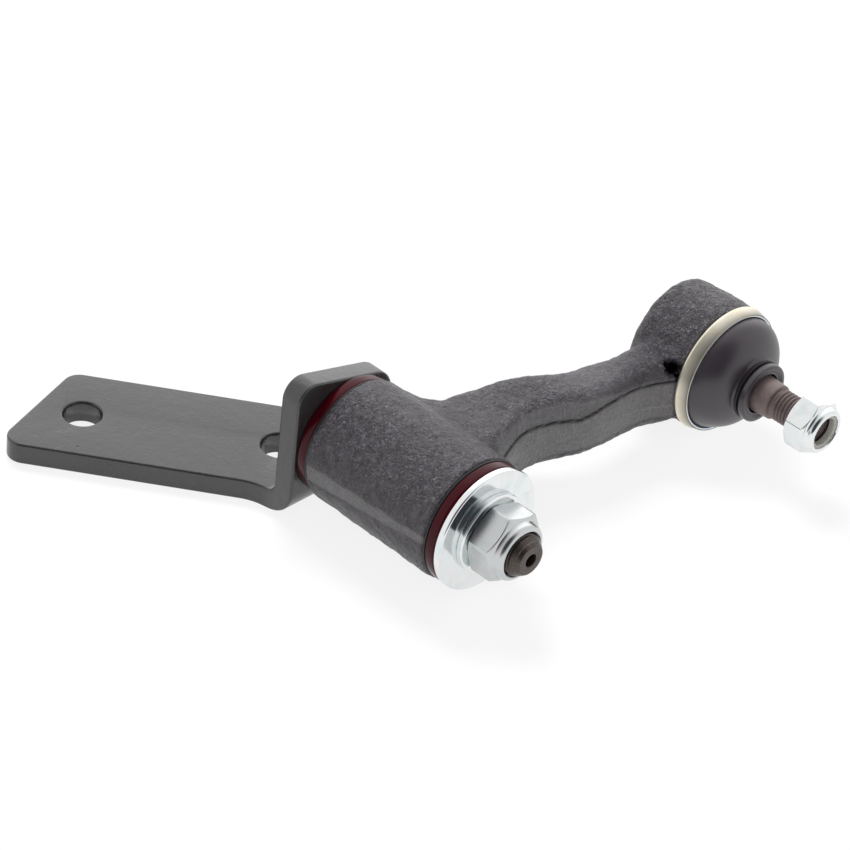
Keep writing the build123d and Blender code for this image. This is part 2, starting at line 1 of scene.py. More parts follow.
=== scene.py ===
import json
from math import ceil, cos, pi, radians, sin, sqrt, tan
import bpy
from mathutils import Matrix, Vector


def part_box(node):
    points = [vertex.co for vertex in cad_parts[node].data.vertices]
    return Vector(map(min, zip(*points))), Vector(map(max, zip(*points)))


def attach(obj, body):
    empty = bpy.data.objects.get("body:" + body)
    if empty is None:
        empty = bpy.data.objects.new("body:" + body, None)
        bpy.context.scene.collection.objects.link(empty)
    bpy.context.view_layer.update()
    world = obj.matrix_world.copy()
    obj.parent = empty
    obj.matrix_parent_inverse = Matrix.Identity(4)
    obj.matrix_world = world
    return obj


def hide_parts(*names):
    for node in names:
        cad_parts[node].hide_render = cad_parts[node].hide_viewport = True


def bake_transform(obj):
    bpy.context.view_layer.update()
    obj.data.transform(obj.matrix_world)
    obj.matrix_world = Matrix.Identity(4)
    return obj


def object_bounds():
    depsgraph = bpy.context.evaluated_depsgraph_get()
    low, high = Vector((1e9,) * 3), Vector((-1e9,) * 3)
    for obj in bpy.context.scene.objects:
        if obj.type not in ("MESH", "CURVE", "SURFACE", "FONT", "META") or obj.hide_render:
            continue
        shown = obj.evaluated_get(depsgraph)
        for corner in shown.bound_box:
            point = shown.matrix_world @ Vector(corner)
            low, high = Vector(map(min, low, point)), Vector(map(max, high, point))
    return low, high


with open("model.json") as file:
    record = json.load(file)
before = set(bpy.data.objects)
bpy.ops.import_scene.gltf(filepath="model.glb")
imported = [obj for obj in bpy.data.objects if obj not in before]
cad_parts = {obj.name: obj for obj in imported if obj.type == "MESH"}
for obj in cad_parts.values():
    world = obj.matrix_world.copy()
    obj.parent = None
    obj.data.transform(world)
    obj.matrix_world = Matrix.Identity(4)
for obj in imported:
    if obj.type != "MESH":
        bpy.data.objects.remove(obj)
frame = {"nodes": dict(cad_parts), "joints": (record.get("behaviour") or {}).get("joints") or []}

from types import SimpleNamespace

import bmesh
import bpy
import numpy as np
from bpy.props import FloatProperty, FloatVectorProperty, PointerProperty
from mathutils import Matrix, Vector, noise

bl_info = {
    "name": "Idler Arm",
    "version": (1, 0, 0),
    "blender": (4, 5, 0),
    "location": "View3D > Sidebar > Idler Arm",
    "description": "Builds a steering idler arm around its packed frame",
    "category": "Object",
}

MM = 0.001
SEGMENTS = 144  # sides of every turned piece


def joint_place(name):
    """The place of one of the frame's joints, in metres."""
    return Vector(next(joint for joint in frame["joints"] if joint["name"] == name)["pos_m"])


PIVOT = joint_place("arm_pivot")
BALL = joint_place("stud_tilt")
CAD_BOX = [list(corner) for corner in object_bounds()]


# Sizes read from the frame

def reach(node):
    """Rear station, front station and outer radius of a round node, in millimetres."""
    low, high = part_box(node)
    return -high.y / MM, -low.y / MM, (high.x - low.x) / 2 / MM


# Mesh helpers

def placed(name, data):
    """A new object in the scene that carries a mesh, a light or a camera."""
    made = bpy.data.objects.new(name, data)
    bpy.context.scene.collection.objects.link(made)
    return made


def mend(mesh, apart, turn_out=False):
    """Merges the points of a mesh that are less than apart millimetres apart."""
    shape = bmesh.new()
    shape.from_mesh(mesh)
    bmesh.ops.remove_doubles(shape, verts=shape.verts, dist=apart * MM)
    if turn_out:
        bmesh.ops.recalc_face_normals(shape, faces=shape.faces)
    shape.to_mesh(mesh)
    shape.free()


def rounded(points, steps=5):
    """An outline whose corners are rounded: each point is (station, radius, corner radius)."""
    outline = []
    count = len(points)
    for i, (station, radius, corner) in enumerate(points):
        here = Vector((station, radius))
        if not corner:
            outline.append(tuple(here))
            continue
        before = Vector(points[(i - 1) % count][:2]) - here
        after = Vector(points[(i + 1) % count][:2]) - here
        half = before.angle(after) / 2
        cut = min(corner / tan(half), 0.49 * before.length, 0.49 * after.length)
        start = here + before.normalized() * cut
        end = here + after.normalized() * cut
        for k in range(steps + 1):
            t = k / steps
            outline.append(tuple((1 - t) ** 2 * start + 2 * t * (1 - t) * here + t ** 2 * end))
    return outline


def turned(name, centre, section, bend=None, smooth_angle=32.0):
    """Turns a closed outline of (station, radius), which section gives for each angle, about Y."""
    vertices = []
    faces = []
    for s in range(SEGMENTS):
        angle = 2 * pi * s / SEGMENTS
        outline = section(angle)
        count = len(outline)
        t = (s + 1) % SEGMENTS
        for k, (station, radius) in enumerate(outline):
            x, z = radius * cos(angle), radius * sin(angle)
            if bend:
                x, station, z = bend(x, station, z)
            vertices.append(tuple(c * MM for c in (centre.x / MM + x, -station, centre.z / MM + z)))
            n = (k + 1) % count
            faces.append((s * count + k, t * count + k, t * count + n, s * count + n))
    mesh = bpy.data.meshes.new(name)
    mesh.from_pydata(vertices, [], faces)
    mend(mesh, 0.0005, turn_out=True)
    mesh.shade_smooth()
    mesh.set_sharp_from_angle(angle=radians(smooth_angle))
    return placed(name, mesh)


def lathe(name, outline, centre, bend=None):
    """Turns one outline about the line through centre along Y."""
    return turned(name, centre, lambda angle: outline, bend)


def copy_of_node(name, node):
    """A copy of a CAD node's mesh with its doubles merged."""
    mesh = frame["nodes"][node].data.copy()
    mesh.name = name
    mend(mesh, 0.001)
    mesh.materials.clear()
    return placed(name, mesh)


def apply_modifiers(piece):
    """Turns a piece with modifiers into a plain mesh."""
    graph = bpy.context.evaluated_depsgraph_get()
    graph.update()
    mesh = bpy.data.meshes.new_from_object(piece.evaluated_get(graph))
    piece.modifiers.clear()
    piece.data = mesh
    return piece


def dress(piece, material, body, slot, *replaced):
    """Gives a piece its material and its body, and hides the nodes that it stands for; the slot is not used.
    """
    if material:
        piece.data.materials.clear()
        piece.data.materials.append(material)
    if body:
        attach(piece, body)
    if replaced:
        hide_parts(*replaced)
    return piece


def mesh_points(mesh):
    """The points of a mesh in millimetres, as an array."""
    points = np.empty(len(mesh.vertices) * 3)
    mesh.vertices.foreach_get("co", points)
    return points.reshape(-1, 3) / MM


def mesh_normals(mesh):
    """The point normals of a mesh, as an array."""
    normals = np.empty(len(mesh.vertices) * 3)
    mesh.vertices.foreach_get("normal", normals)
    return normals.reshape(-1, 3)


def set_points(mesh, points):
    """Moves the points of a mesh to an array in millimetres."""
    mesh.vertices.foreach_set("co", (points * MM).ravel())
    mesh.update()


def set_mask(mesh, name, values):
    """Stores a value from 0 to 1 on each point, for a material to read."""
    attribute = mesh.attributes.new(name, "FLOAT", "POINT")
    attribute.data.foreach_set("value", np.clip(values, 0, 1).astype(np.float32))


def smoothstep(low, high, values):
    """Rises smoothly from 0 at low to 1 at high, or falls where low is the larger."""
    t = np.clip((values - low) / (high - low), 0, 1)
    return t * t * (3 - 2 * t)


def hump(values, middle, width):
    """A soft hump of height 1 round the middle."""
    return np.exp(-((values - middle) / width) ** 2)


def noise_at(points, size, seed=0.0):
    """Smooth noise from -1 to 1 whose lumps are about size millimetres across."""
    shift = Vector((seed, seed * 1.7, -seed))
    return np.array([noise.noise(Vector(p) / size + shift) for p in points])


# Shader helpers

def group(name, inputs, outputs, kind="ShaderNodeTree"):
    """A new node group with named inputs and outputs."""
    tree = bpy.data.node_groups.new(name, kind)
    for label, socket_type, value in inputs:
        socket = tree.interface.new_socket(label, in_out="INPUT", socket_type=socket_type)
        if value is not None:
            socket.default_value = value
    for label, socket_type in outputs:
        tree.interface.new_socket(label, in_out="OUTPUT", socket_type=socket_type)
    return tree, tree.nodes.new("NodeGroupInput"), tree.nodes.new("NodeGroupOutput")


def add(tree, kind, **settings):
    """A new node with its properties, and its inputs given by name or number."""
    node = tree.nodes.new(kind)
    inputs = settings.pop("inputs", {})
    for key, value in settings.items():
        setattr(node, key, value)
    for key, value in inputs.items():
        if isinstance(value, bpy.types.NodeSocket):
            tree.links.new(value, node.inputs[key])
        else:
            node.inputs[key].default_value = value
    return node


def math_node(tree, operation, a, b=0.0, clamp=False):
    """The output of a maths node."""
    return add(tree, "ShaderNodeMath", operation=operation, use_clamp=clamp, inputs={0: a, 1: b}).outputs[0]


def times(tree, a, b):
    return math_node(tree, "MULTIPLY", a, b)


def plus(tree, a, b, clamp=False):
    return math_node(tree, "ADD", a, b, clamp)


def minus(tree, a, b):
    return math_node(tree, "SUBTRACT", a, b)


def remap(tree, value, low, high, to_low=0.0, to_high=1.0, kind="LINEAR"):
    """A value that runs from to_low at low to to_high at high, and stops there."""
    node = add(tree, "ShaderNodeMapRange", interpolation_type=kind,
               inputs={0: value, 1: low, 2: high, 3: to_low, 4: to_high})
    return node.outputs[0]


def noise_node(tree, place, scale, detail, **settings):
    """Procedural noise at a place."""
    inputs = {"Vector": place, "Scale": scale, "Detail": detail, **settings}
    return add(tree, "ShaderNodeTexNoise", inputs=inputs).outputs[0]


def mask(tree, name):
    """A value that set_mask stored on the mesh."""
    return add(tree, "ShaderNodeAttribute", attribute_name=name).outputs["Fac"]


def mix_colour(tree, factor, a, b, blend="MIX"):
    """Colour a turned to colour b by a factor."""
    node = add(tree, "ShaderNodeMix", data_type="RGBA", blend_type=blend, inputs={0: factor, 6: a, 7: b})
    return node.outputs[2]


def rgba(colour, level=1.0):
    """A colour with its alpha; level scales it."""
    return (*(c * level for c in colour), 1.0)


def object_points(tree):
    """Object coordinates in millimetres."""
    place = add(tree, "ShaderNodeTexCoord").outputs["Object"]
    return add(tree, "ShaderNodeVectorMath", operation="SCALE", inputs={0: place, "Scale": 1 / MM}).outputs[0]


def sized_place(tree, given):
    """Object coordinates in the group's own grain size."""
    return add(tree, "ShaderNodeVectorMath", operation="DIVIDE",
               inputs={0: object_points(tree), 1: given.outputs["Size"]}).outputs[0]


def grain_group():
    """Lumps of three sizes on a cast, forged or moulded skin, as a height and a fleck mask."""
    tree, given, result = group(
        "Surface grain",
        [("Size", "NodeSocketFloat", 1.0), ("Fleck Share", "NodeSocketFloat", 0.35)],
        [("Height", "NodeSocketFloat"), ("Flecks", "NodeSocketFloat"), ("Drift", "NodeSocketFloat")],
    )
    place = sized_place(tree, given)
    coarse = noise_node(tree, place, 0.5, 5.0, Roughness=0.62)
    fine = noise_node(tree, place, 1.9, 3.0)
    veins = noise_node(tree, place, 0.75, 2.0, Distortion=0.5)
    patches = noise_node(tree, place, 0.9, 2.0)
    off_vein = math_node(tree, "ABSOLUTE", minus(tree, veins, 0.5))
    vein = remap(tree, off_vein, 0.035, 0.005)
    top = minus(tree, 1.0, given.outputs["Fleck Share"])
    flecks = times(tree, vein, remap(tree, patches, minus(tree, top, 0.1), top))
    height = plus(tree, times(tree, coarse, 0.65), times(tree, fine, 0.35))
    height = plus(tree, height, times(tree, flecks, 0.1))
    tree.links.new(height, result.inputs["Height"])
    tree.links.new(flecks, result.inputs["Flecks"])
    tree.links.new(noise_node(tree, place, 0.07, 3.0), result.inputs["Drift"])
    return tree


def plating_group():
    """Faint warm tints of a zinc plate and bluish cloudy patches of painted reflection, over its base colour.
    """
    tree, given, result = group(
        "Plating tint",
        [("Base", "NodeSocketColor", (0.7, 0.72, 0.75, 1)), ("Cool", "NodeSocketColor", (0.5, 0.62, 0.8, 1)),
         ("Warm", "NodeSocketColor", (0.85, 0.72, 0.7, 1)), ("Strength", "NodeSocketFloat", 0.5),
         ("Size", "NodeSocketFloat", 6.0)],
        [("Color", "NodeSocketColor"), ("Height", "NodeSocketFloat"), ("Cloud", "NodeSocketFloat")],
    )
    place = sized_place(tree, given)
    strength = given.outputs["Strength"]
    cloud = noise_node(tree, place, 1.0, 3.0, Distortion=0.6)
    other = noise_node(tree, place, 1.6, 2.0, Distortion=0.4)
    # bluish patches of painted reflection
    reflection_tint = times(tree, remap(tree, cloud, 0.5, 0.72), strength)
    warm = times(tree, remap(tree, other, 0.52, 0.74), strength)
    colour = mix_colour(tree, reflection_tint, given.outputs["Base"], given.outputs["Cool"])
    colour = mix_colour(tree, warm, colour, given.outputs["Warm"])
    tree.links.new(colour, result.inputs["Color"])
    tree.links.new(noise_node(tree, place, 9.0, 3.0), result.inputs["Height"])
    tree.links.new(cloud, result.inputs["Cloud"])
    return tree


GROUPS = {}


def shared(name, maker):
    """A node group, built once."""
    if name not in GROUPS:
        GROUPS[name] = maker()
    return GROUPS[name]


def use_group(tree, shared_tree, **values):
    """A node that uses a shared group; values set its inputs."""
    node = tree.nodes.new("ShaderNodeGroup")
    node.node_tree = shared_tree
    for key, value in values.items():
        node.inputs[key.replace("_", " ")].default_value = value
    return node


def material(name, **values):
    """A new material with its Principled shader; values set the shader's own sockets."""
    made = bpy.data.materials.new(name)
    made.use_nodes = True
    tree = made.node_tree
    shader = tree.nodes["Principled BSDF"]
    for key, value in values.items():
        shader.inputs[key.replace("_", " ")].default_value = value
    return made, tree, shader


def skin_of(tree, shader, colour, rough, height, distance_mm):
    """Links a colour, a roughness and a bump of distance_mm millimetres to a shader."""
    node = add(tree, "ShaderNodeBump", inputs={"Height": height, "Distance": distance_mm * MM})
    for socket, value in (("Base Color", colour), ("Roughness", rough), ("Normal", node.outputs[0])):
        tree.links.new(value, shader.inputs[socket])


# Materials

def forging_material(finish):
    """Dark forged scale with bright flecks and smoother sheared trim, with painted shade on the lumps'
    hollows and in the crease, fold and pocket, and painted highlights on the upper faces, the beam's dip and
    the ridges.
    """
    made, tree, shader = material("forged_scale", Specular_IOR_Level=0.8)
    grain = use_group(tree, shared("grain", grain_group), Size=1.25, Fleck_Share=0.56)
    trim, crease = mask(tree, "trim"), mask(tree, "crease")
    colour = mix_colour(tree, grain.outputs["Drift"], rgba(finish.scale_colour, 0.7),
                        rgba(finish.scale_colour))
    # painted light and shade: the lumps' tops lighter and their hollows darker, by the grain's height
    lump_light_and_shade = remap(tree, grain.outputs["Height"], 0.4, 0.64, 0.35, 1.75)
    colour = mix_colour(tree, 1.0, colour, lump_light_and_shade, "MULTIPLY")
    # painted highlights: the flecks show most on the upper faces, and a painted sheen lightens them most of
    # all on the beam's dip
    share = plus(tree, 0.5, times(tree, mask(tree, "upper"), 0.45))
    flecks = times(tree, grain.outputs["Flecks"], share)
    flecks = plus(tree, flecks, times(tree, mask(tree, "sheen"), 0.3), clamp=True)
    colour = mix_colour(tree, flecks, colour, rgba(finish.fleck_and_highlight_colour))
    strokes = add(tree, "ShaderNodeMapping",
                  inputs={"Vector": object_points(tree), "Scale": (1.5, 0.25, 0.12)})
    striae = noise_node(tree, strokes.outputs[0], 1.0, 4.0)
    sheared = mix_colour(tree, striae, rgba(finish.trim_colour, 0.6), rgba(finish.trim_colour, 1.5))
    colour = mix_colour(tree, times(tree, trim, 0.85), colour, sheared)
    # painted highlight along the foot ridge and the trim's upper edge
    colour = mix_colour(tree, times(tree, mask(tree, "ridge_highlight"), 0.5), colour, rgba(finish.fleck_and_highlight_colour))
    # painted shade: the crease, the fold, the pocket and the barrel band's upper edge darkened to black, and
    # made metallic there so that they hardly reflect
    colour = mix_colour(tree, crease, colour, rgba(finish.crease_shade_colour))
    rough = minus(tree, 0.38, times(tree, grain.outputs["Flecks"], 0.16))
    rough = plus(tree, rough, times(tree, crease, 0.4), clamp=True)
    tree.links.new(crease, shader.inputs["Metallic"])
    height = times(tree, grain.outputs["Height"], minus(tree, 1.0, times(tree, trim, 0.5)))
    height = plus(tree, height, times(tree, striae, times(tree, trim, 0.26)))
    skin_of(tree, shader, colour, rough, height, 3.2)
    return made


def coated_plate_material(finish):
    """Semi-gloss dark coating with a mottled sheen and small pits."""
    made, tree, shader = material("bracket_coating", Specular_IOR_Level=0.76)
    grain = use_group(tree, shared("grain", grain_group), Size=2.4, Fleck_Share=0.3)
    place = object_points(tree)
    along_leg = add(tree, "ShaderNodeMapping", inputs={"Vector": place, "Scale": (0.05, 0.018, 0.05),
                                                       "Rotation": (0, 0, radians(37.3))})
    cloud = noise_node(tree, along_leg.outputs[0], 1.0, 4.0)
    colour = mix_colour(tree, cloud, rgba(finish.coat_colour, 0.6), rgba(finish.coat_colour, 1.4))
    colour = mix_colour(tree, times(tree, grain.outputs["Flecks"], 0.07), colour, (0.2, 0.2, 0.2, 1))
    cells = add(tree, "ShaderNodeTexVoronoi", inputs={"Vector": place, "Scale": 0.09})
    pit = remap(tree, cells.outputs["Distance"], 0.075, 0.05)
    colour = mix_colour(tree, times(tree, pit, 0.8), colour, (0.015, 0.014, 0.014, 1))
    rough = plus(tree, 0.1, times(tree, cloud, 0.2))
    skin_of(tree, shader, colour, rough, minus(tree, grain.outputs["Height"], pit), 0.3)
    return made


def plated_material(name, base, reflection_tint, warm, strength, size, rough=0.09):
    """A zinc-plated metal: bright, with faint tints, bluish patches of painted reflection and fine scuffs."""
    made, tree, shader = material(name, Metallic=1.0)
    tint = use_group(tree, shared("plating", plating_group), Strength=strength, Size=size, Base=rgba(base),
                     Cool=rgba(reflection_tint), Warm=rgba(warm))
    rough = plus(tree, rough, times(tree, tint.outputs["Cloud"], 0.12))
    skin_of(tree, shader, tint.outputs["Color"], rough, tint.outputs["Height"], 0.006)
    return made


def worn_steel_material(name, colour, light, rough=0.42, metallic=0.6):
    """Dark phosphated or oiled steel with lighter rubbed spots."""
    made, tree, shader = material(name, Metallic=metallic)
    grain = use_group(tree, shared("grain", grain_group), Size=0.8, Fleck_Share=0.42)
    shade = mix_colour(tree, grain.outputs["Drift"], rgba(colour, 0.75), rgba(colour))
    shade = mix_colour(tree, times(tree, grain.outputs["Flecks"], 0.35), shade, rgba(light))
    rough = plus(tree, rough, times(tree, grain.outputs["Height"], 0.12))
    skin_of(tree, shader, shade, rough, grain.outputs["Height"], 0.08)
    return made


def moulded_material(name, colour, light, rough, size=1.5, depth=0.04, **values):
    """Moulded rubber or nylon with a faint mottle."""
    made, tree, shader = material(name, **values)
    grain = use_group(tree, shared("grain", grain_group), Size=size, Fleck_Share=0.36)
    shade = mix_colour(tree, grain.outputs["Drift"], rgba(colour), rgba(light))
    rough = plus(tree, rough, times(tree, grain.outputs["Drift"], 0.12))
    skin_of(tree, shader, shade, rough, grain.outputs["Height"], depth)
    return made


# Geometry Nodes

def thread_tree():
    """A threaded rod: a cylinder whose wall follows a helical groove that fades at both ends."""
    sizes = [("Start", "NodeSocketVector", None), ("Crest Radius", "NodeSocketFloat", 0.006),
             ("Depth", "NodeSocketFloat", 0.0008), ("Pitch", "NodeSocketFloat", 0.00125),
             ("Length", "NodeSocketFloat", 0.02), ("Run Out", "NodeSocketFloat", 0.001),
             ("End Radius", "NodeSocketFloat", 0.005), ("Around", "NodeSocketInt", 72),
             ("Along", "NodeSocketInt", 200), ("Material", "NodeSocketMaterial", None)]
    tree, given, result = group("Thread", sizes, [("Geometry", "NodeSocketGeometry")], "GeometryNodeTree")
    given = given.outputs
    rod = add(tree, "GeometryNodeMeshCylinder", inputs={
        "Vertices": given["Around"], "Side Segments": given["Along"],
        "Radius": given["Crest Radius"], "Depth": given["Length"]})
    place = add(tree, "ShaderNodeSeparateXYZ", inputs={0: add(tree, "GeometryNodeInputPosition").outputs[0]})
    x, y, z = place.outputs
    # the groove: a phase that turns with the angle and rises by one with each pitch
    turn = math_node(tree, "DIVIDE", math_node(tree, "ARCTAN2", y, x), 2 * pi)
    rise = math_node(tree, "DIVIDE", z, given["Pitch"])
    phase = math_node(tree, "FRACT", minus(tree, plus(tree, rise, 1000.0), turn))
    valley = math_node(tree, "ABSOLUTE", minus(tree, times(tree, phase, 2.0), 1.0))
    valley = remap(tree, valley, 0.1, 0.9, kind="SMOOTHSTEP")
    half = times(tree, given["Length"], 0.5)
    to_end = minus(tree, half, math_node(tree, "ABSOLUTE", z))
    fade = math_node(tree, "DIVIDE", to_end, given["Run Out"], clamp=True)
    cut = minus(tree, given["Crest Radius"], times(tree, times(tree, valley, fade), given["Depth"]))
    cone = plus(tree, given["End Radius"], minus(tree, half, z))
    scale = math_node(tree, "DIVIDE", math_node(tree, "MINIMUM", cut, cone), given["Crest Radius"])
    moved = add(tree, "ShaderNodeCombineXYZ",
                inputs={0: times(tree, x, scale), 1: times(tree, y, scale), 2: z})
    wall = add(tree, "GeometryNodeSetPosition", inputs={"Geometry": rod.outputs["Mesh"],
                                                        "Position": moved.outputs[0]})
    lifted = add(tree, "ShaderNodeCombineXYZ", inputs={2: half})
    up = add(tree, "GeometryNodeTransform", inputs={"Geometry": wall.outputs[0],
                                                    "Translation": lifted.outputs[0]})
    laid = add(tree, "GeometryNodeTransform", inputs={
        "Geometry": up.outputs[0], "Translation": given["Start"], "Rotation": (pi / 2, 0, 0)})
    whole = add(tree, "GeometryNodeRealizeInstances", inputs={"Geometry": laid.outputs[0]})
    painted = add(tree, "GeometryNodeSetMaterial", inputs={"Geometry": whole.outputs[0],
                                                           "Material": given["Material"]})
    tree.links.new(painted.outputs[0], result.inputs["Geometry"])
    return tree


THREAD_SIDES = 72
CELLS_PER_TURN = 14


def threaded_rod(name, centre, start, end, radius, depth, pitch, run_out, end_radius, paint):
    """A plain mesh of thread from the tree, lying along Y between two stations; sizes in millimetres."""
    piece = placed(name, bpy.data.meshes.new(name))
    tree = shared("thread", thread_tree)
    modifier = piece.modifiers.new("Thread", "NODES")
    modifier.node_group = tree
    length = end - start
    values = {"Start": (centre.x, -start * MM, centre.z), "Crest Radius": radius * MM, "Depth": depth * MM,
              "Pitch": pitch * MM, "Length": length * MM, "Run Out": run_out * MM,
              "End Radius": end_radius * MM, "Around": THREAD_SIDES,
              "Along": int(ceil(length / pitch * CELLS_PER_TURN)), "Material": paint}
    for item in tree.interface.items_tree:
        if item.in_out == "INPUT":
            modifier[item.identifier] = values[item.name]
    apply_modifiers(piece)
    piece.data.name = name
    piece.data.shade_smooth()
    piece.data.set_sharp_from_angle(angle=radians(60))
    return piece


# Settings

class ForgingSettings(bpy.types.PropertyGroup):
    """Forged arm"""
    voxel: FloatProperty(name="Mesh Size", description="Size of the forging's mesh cells", default=0.0007,
                         unit="LENGTH")
    roughness_depth: FloatProperty(name="Scale Depth", description="Height of the forged skin's lumps",
                                   default=0.0003, unit="LENGTH")
    scale_colour: FloatVectorProperty(name="Scale", description="Colour of the forged scale",
                                      subtype="COLOR", default=(0.043, 0.036, 0.046))
    # the flecks' colour, which also paints the highlights on the upper faces, the beam's dip and the ridges
    fleck_and_highlight_colour: FloatVectorProperty(name="Flecks", description="Colour of the bright flecks",
                                      subtype="COLOR", default=(0.24, 0.23, 0.25))
    trim_colour: FloatVectorProperty(name="Trim", description="Colour of the sheared trim",
                                     subtype="COLOR", default=(0.155, 0.15, 0.153))
    # painted shade in the crease, the fold and the pocket
    crease_shade_colour: FloatVectorProperty(name="Crease", description="Colour in the dark creases",
                                       subtype="COLOR", default=(0.006, 0.005, 0.006))


class BracketSettings(bpy.types.PropertyGroup):
    """Bracket plate"""
    coat_colour: FloatVectorProperty(name="Coating", description="Colour of the bracket's coating",
                                     subtype="COLOR", default=(0.027, 0.0252, 0.0262))


class BushSettings(bpy.types.PropertyGroup):
    """Bushes and seals"""
    nylon_colour: FloatVectorProperty(name="Nylon", description="Colour of the bushes",
                                      subtype="COLOR", default=(0.03, 0.0008, 0.003))
    lip_round: FloatProperty(name="Lip Rounding", description="Rounding of the bush flange's rim",
                             default=0.0012, unit="LENGTH")


class HardwareSettings(bpy.types.PropertyGroup):
    """Washers and lock nuts"""
    zinc_colour: FloatVectorProperty(name="Zinc", description="Colour of the bright plating",
                                     subtype="COLOR", default=(0.8, 0.825, 0.83))
    # the bluish patches are painted reflections of the studio
    cool_reflection_colour: FloatVectorProperty(name="Cool Tint", description="Bluish tint of the plating",
                                     subtype="COLOR", default=(0.56, 0.68, 0.68))
    warm_colour: FloatVectorProperty(name="Warm Tint", description="Pinkish tint of the plating",
                                     subtype="COLOR", default=(0.84, 0.76, 0.75))
    pivot_flats: FloatProperty(name="Pivot Nut Flats", description="Size across the pivot nut's flats",
                               default=0.024, unit="LENGTH")
    link_flats: FloatProperty(name="Link Nut Flats", description="Size across the link nut's flats",
                              default=0.019, unit="LENGTH")


class StudSettings(bpy.types.PropertyGroup):
    """Ball stud and pivot shaft"""
    stud_pitch: FloatProperty(name="Stud Pitch", description="Pitch of the stud's thread", default=0.0015,
                              unit="LENGTH")
    shaft_pitch: FloatProperty(name="Shaft Pitch", description="Pitch of the shaft's thread", default=0.0015,
                               unit="LENGTH")
    stud_colour: FloatVectorProperty(name="Stud", description="Colour of the phosphated stud",
                                     subtype="COLOR", default=(0.22, 0.17, 0.165))
    shaft_colour: FloatVectorProperty(name="Shaft", description="Colour of the oiled shaft",
                                      subtype="COLOR", default=(0.09, 0.075, 0.068))


class BootSettings(bpy.types.PropertyGroup):
    """Dust boot and its ring"""
    sag: FloatProperty(name="Sag", description="How far the dome leans to its upper side", default=0.0008,
                       unit="LENGTH")
    rubber_colour: FloatVectorProperty(name="Rubber", description="Colour of the boot",
                                       subtype="COLOR", default=(0.02, 0.0155, 0.0205))
    ring_colour: FloatVectorProperty(name="Ring", description="Colour of the yellow plating",
                                     subtype="COLOR", default=(0.86, 0.81, 0.67))


class StageSettings(bpy.types.PropertyGroup):
    """Floor, backdrop, lights and camera"""
    sky_strength: FloatProperty(name="Sky", description="Strength of the plain light from all round",
                                default=0.36)
    dark_way: FloatVectorProperty(name="Dark Side",
                                  description="Where the studio's unlit side is that plated faces reflect",
                                  default=(-0.62, -0.53, 0.58))
    bright_way: FloatVectorProperty(name="Bright Side",
                                    description="Where the backdrop is brightest in the gloss",
                                    default=(0.58, 0.7, 0.35))
    bright_strength: FloatProperty(name="Bright", description="Strength of the backdrop's brightest part",
                                   default=1.8)
    dark_colour: FloatVectorProperty(name="Unlit", description="Colour of the studio's unlit side",
                                     subtype="COLOR", default=(0.04, 0.045, 0.055))
    lens: FloatProperty(name="Lens", description="Focal length of the camera in millimetres", default=148.24)


class IdlerArmSettings(bpy.types.PropertyGroup):
    """All the settings of the idler arm"""
    forging: PointerProperty(type=ForgingSettings)
    bracket: PointerProperty(type=BracketSettings)
    bush: PointerProperty(type=BushSettings)
    hardware: PointerProperty(type=HardwareSettings)
    stud: PointerProperty(type=StudSettings)
    boot: PointerProperty(type=BootSettings)
    stage: PointerProperty(type=StageSettings)


# Forging

# Lines on the beam's front face: (distance along the arm, height), both from the pivot axis
CREASE_LINE = ((20, 3.0), (31.6, 5.3), (45, 5.0), (60, 3.5), (68.4, 2.3), (77, 4.4), (86, 5.4), (104, 4.4),
               (116, 4.3))
TRIM_TOP = ((20, 14), (34, 12), (46, 11), (58.9, 10.0), (75.2, 8.6), (96, 5.6), (104, 5.2), (116, 4.6))
TRIM_FOOT = ((20, -8), (48, -7.0), (57.5, -6.2), (66, -5.4), (73, -3.7), (82.4, -2.9), (98, -4.9),
             (116, -6.4))
# Single marks beside the ring: distance along the arm, height, width and height of the mark
POCKET = (110.3, 9.8, 3.0, 5.2)
BLOB = (103.0, 7.4, 2.2, 1.8)


def along(line, values):
    """The height of a line at each distance along the arm."""
    distances, heights = zip(*line)
    return np.interp(values, distances, heights)


def surface(points, normals):
    """Where each point lies from the two axes and which way it faces, in millimetres."""
    dx = points[:, 0] - PIVOT.x / MM
    dz = points[:, 2] - PIVOT.z / MM
    bx = points[:, 0] - BALL.x / MM
    bz = points[:, 2] - BALL.z / MM
    return SimpleNamespace(
        points=points, dx=dx, dz=dz, bx=bx, station=-points[:, 1], from_pivot=np.hypot(dx, dz),
        from_ball=np.hypot(bx, bz), forward=-normals[:, 1], up=normals[:, 2],
        facing=smoothstep(0.55, 0.85, -normals[:, 1]), on_beam=smoothstep(23, 27, dx) * (bx < -19))


def mark_at(skin, mark):
    """A soft round mark on the skin."""
    distance, height, width, tall = mark
    return np.exp(-(((skin.dx - distance) / width) ** 2 + ((skin.dz - height) / tall) ** 2))


def reshape_forging(skin):
    """Draws the root's back blend in, fills the beam's back before the housing and lowers its foot."""
    moved = skin.points.copy()
    root = hump(skin.dx, 26.5, 7.0) * smoothstep(80, 66, skin.station)
    root *= smoothstep(23.7, 26.5, skin.from_pivot) * smoothstep(-6, 2, skin.dz)
    moved[:, 1] -= 5.0 * root
    moved[:, 2] -= 2.0 * root
    back = smoothstep(0.1, 0.6, -skin.forward) * (skin.station < 100)
    moved[:, 1] += 2.7 * hump(skin.dx, 86.0, 10.5) * smoothstep(-14, -6, skin.dz) * back
    foot = hump(skin.dx, 94.0, 10.0) * smoothstep(0.2, 0.8, -skin.up) * (skin.dz < 0)
    moved[:, 2] -= 1.1 * foot
    crown = smoothstep(112, 122, skin.dx) * smoothstep(0.2, 0.8, skin.up) * smoothstep(110, 104, skin.station)
    moved[:, 2] += 0.6 * crown
    return moved


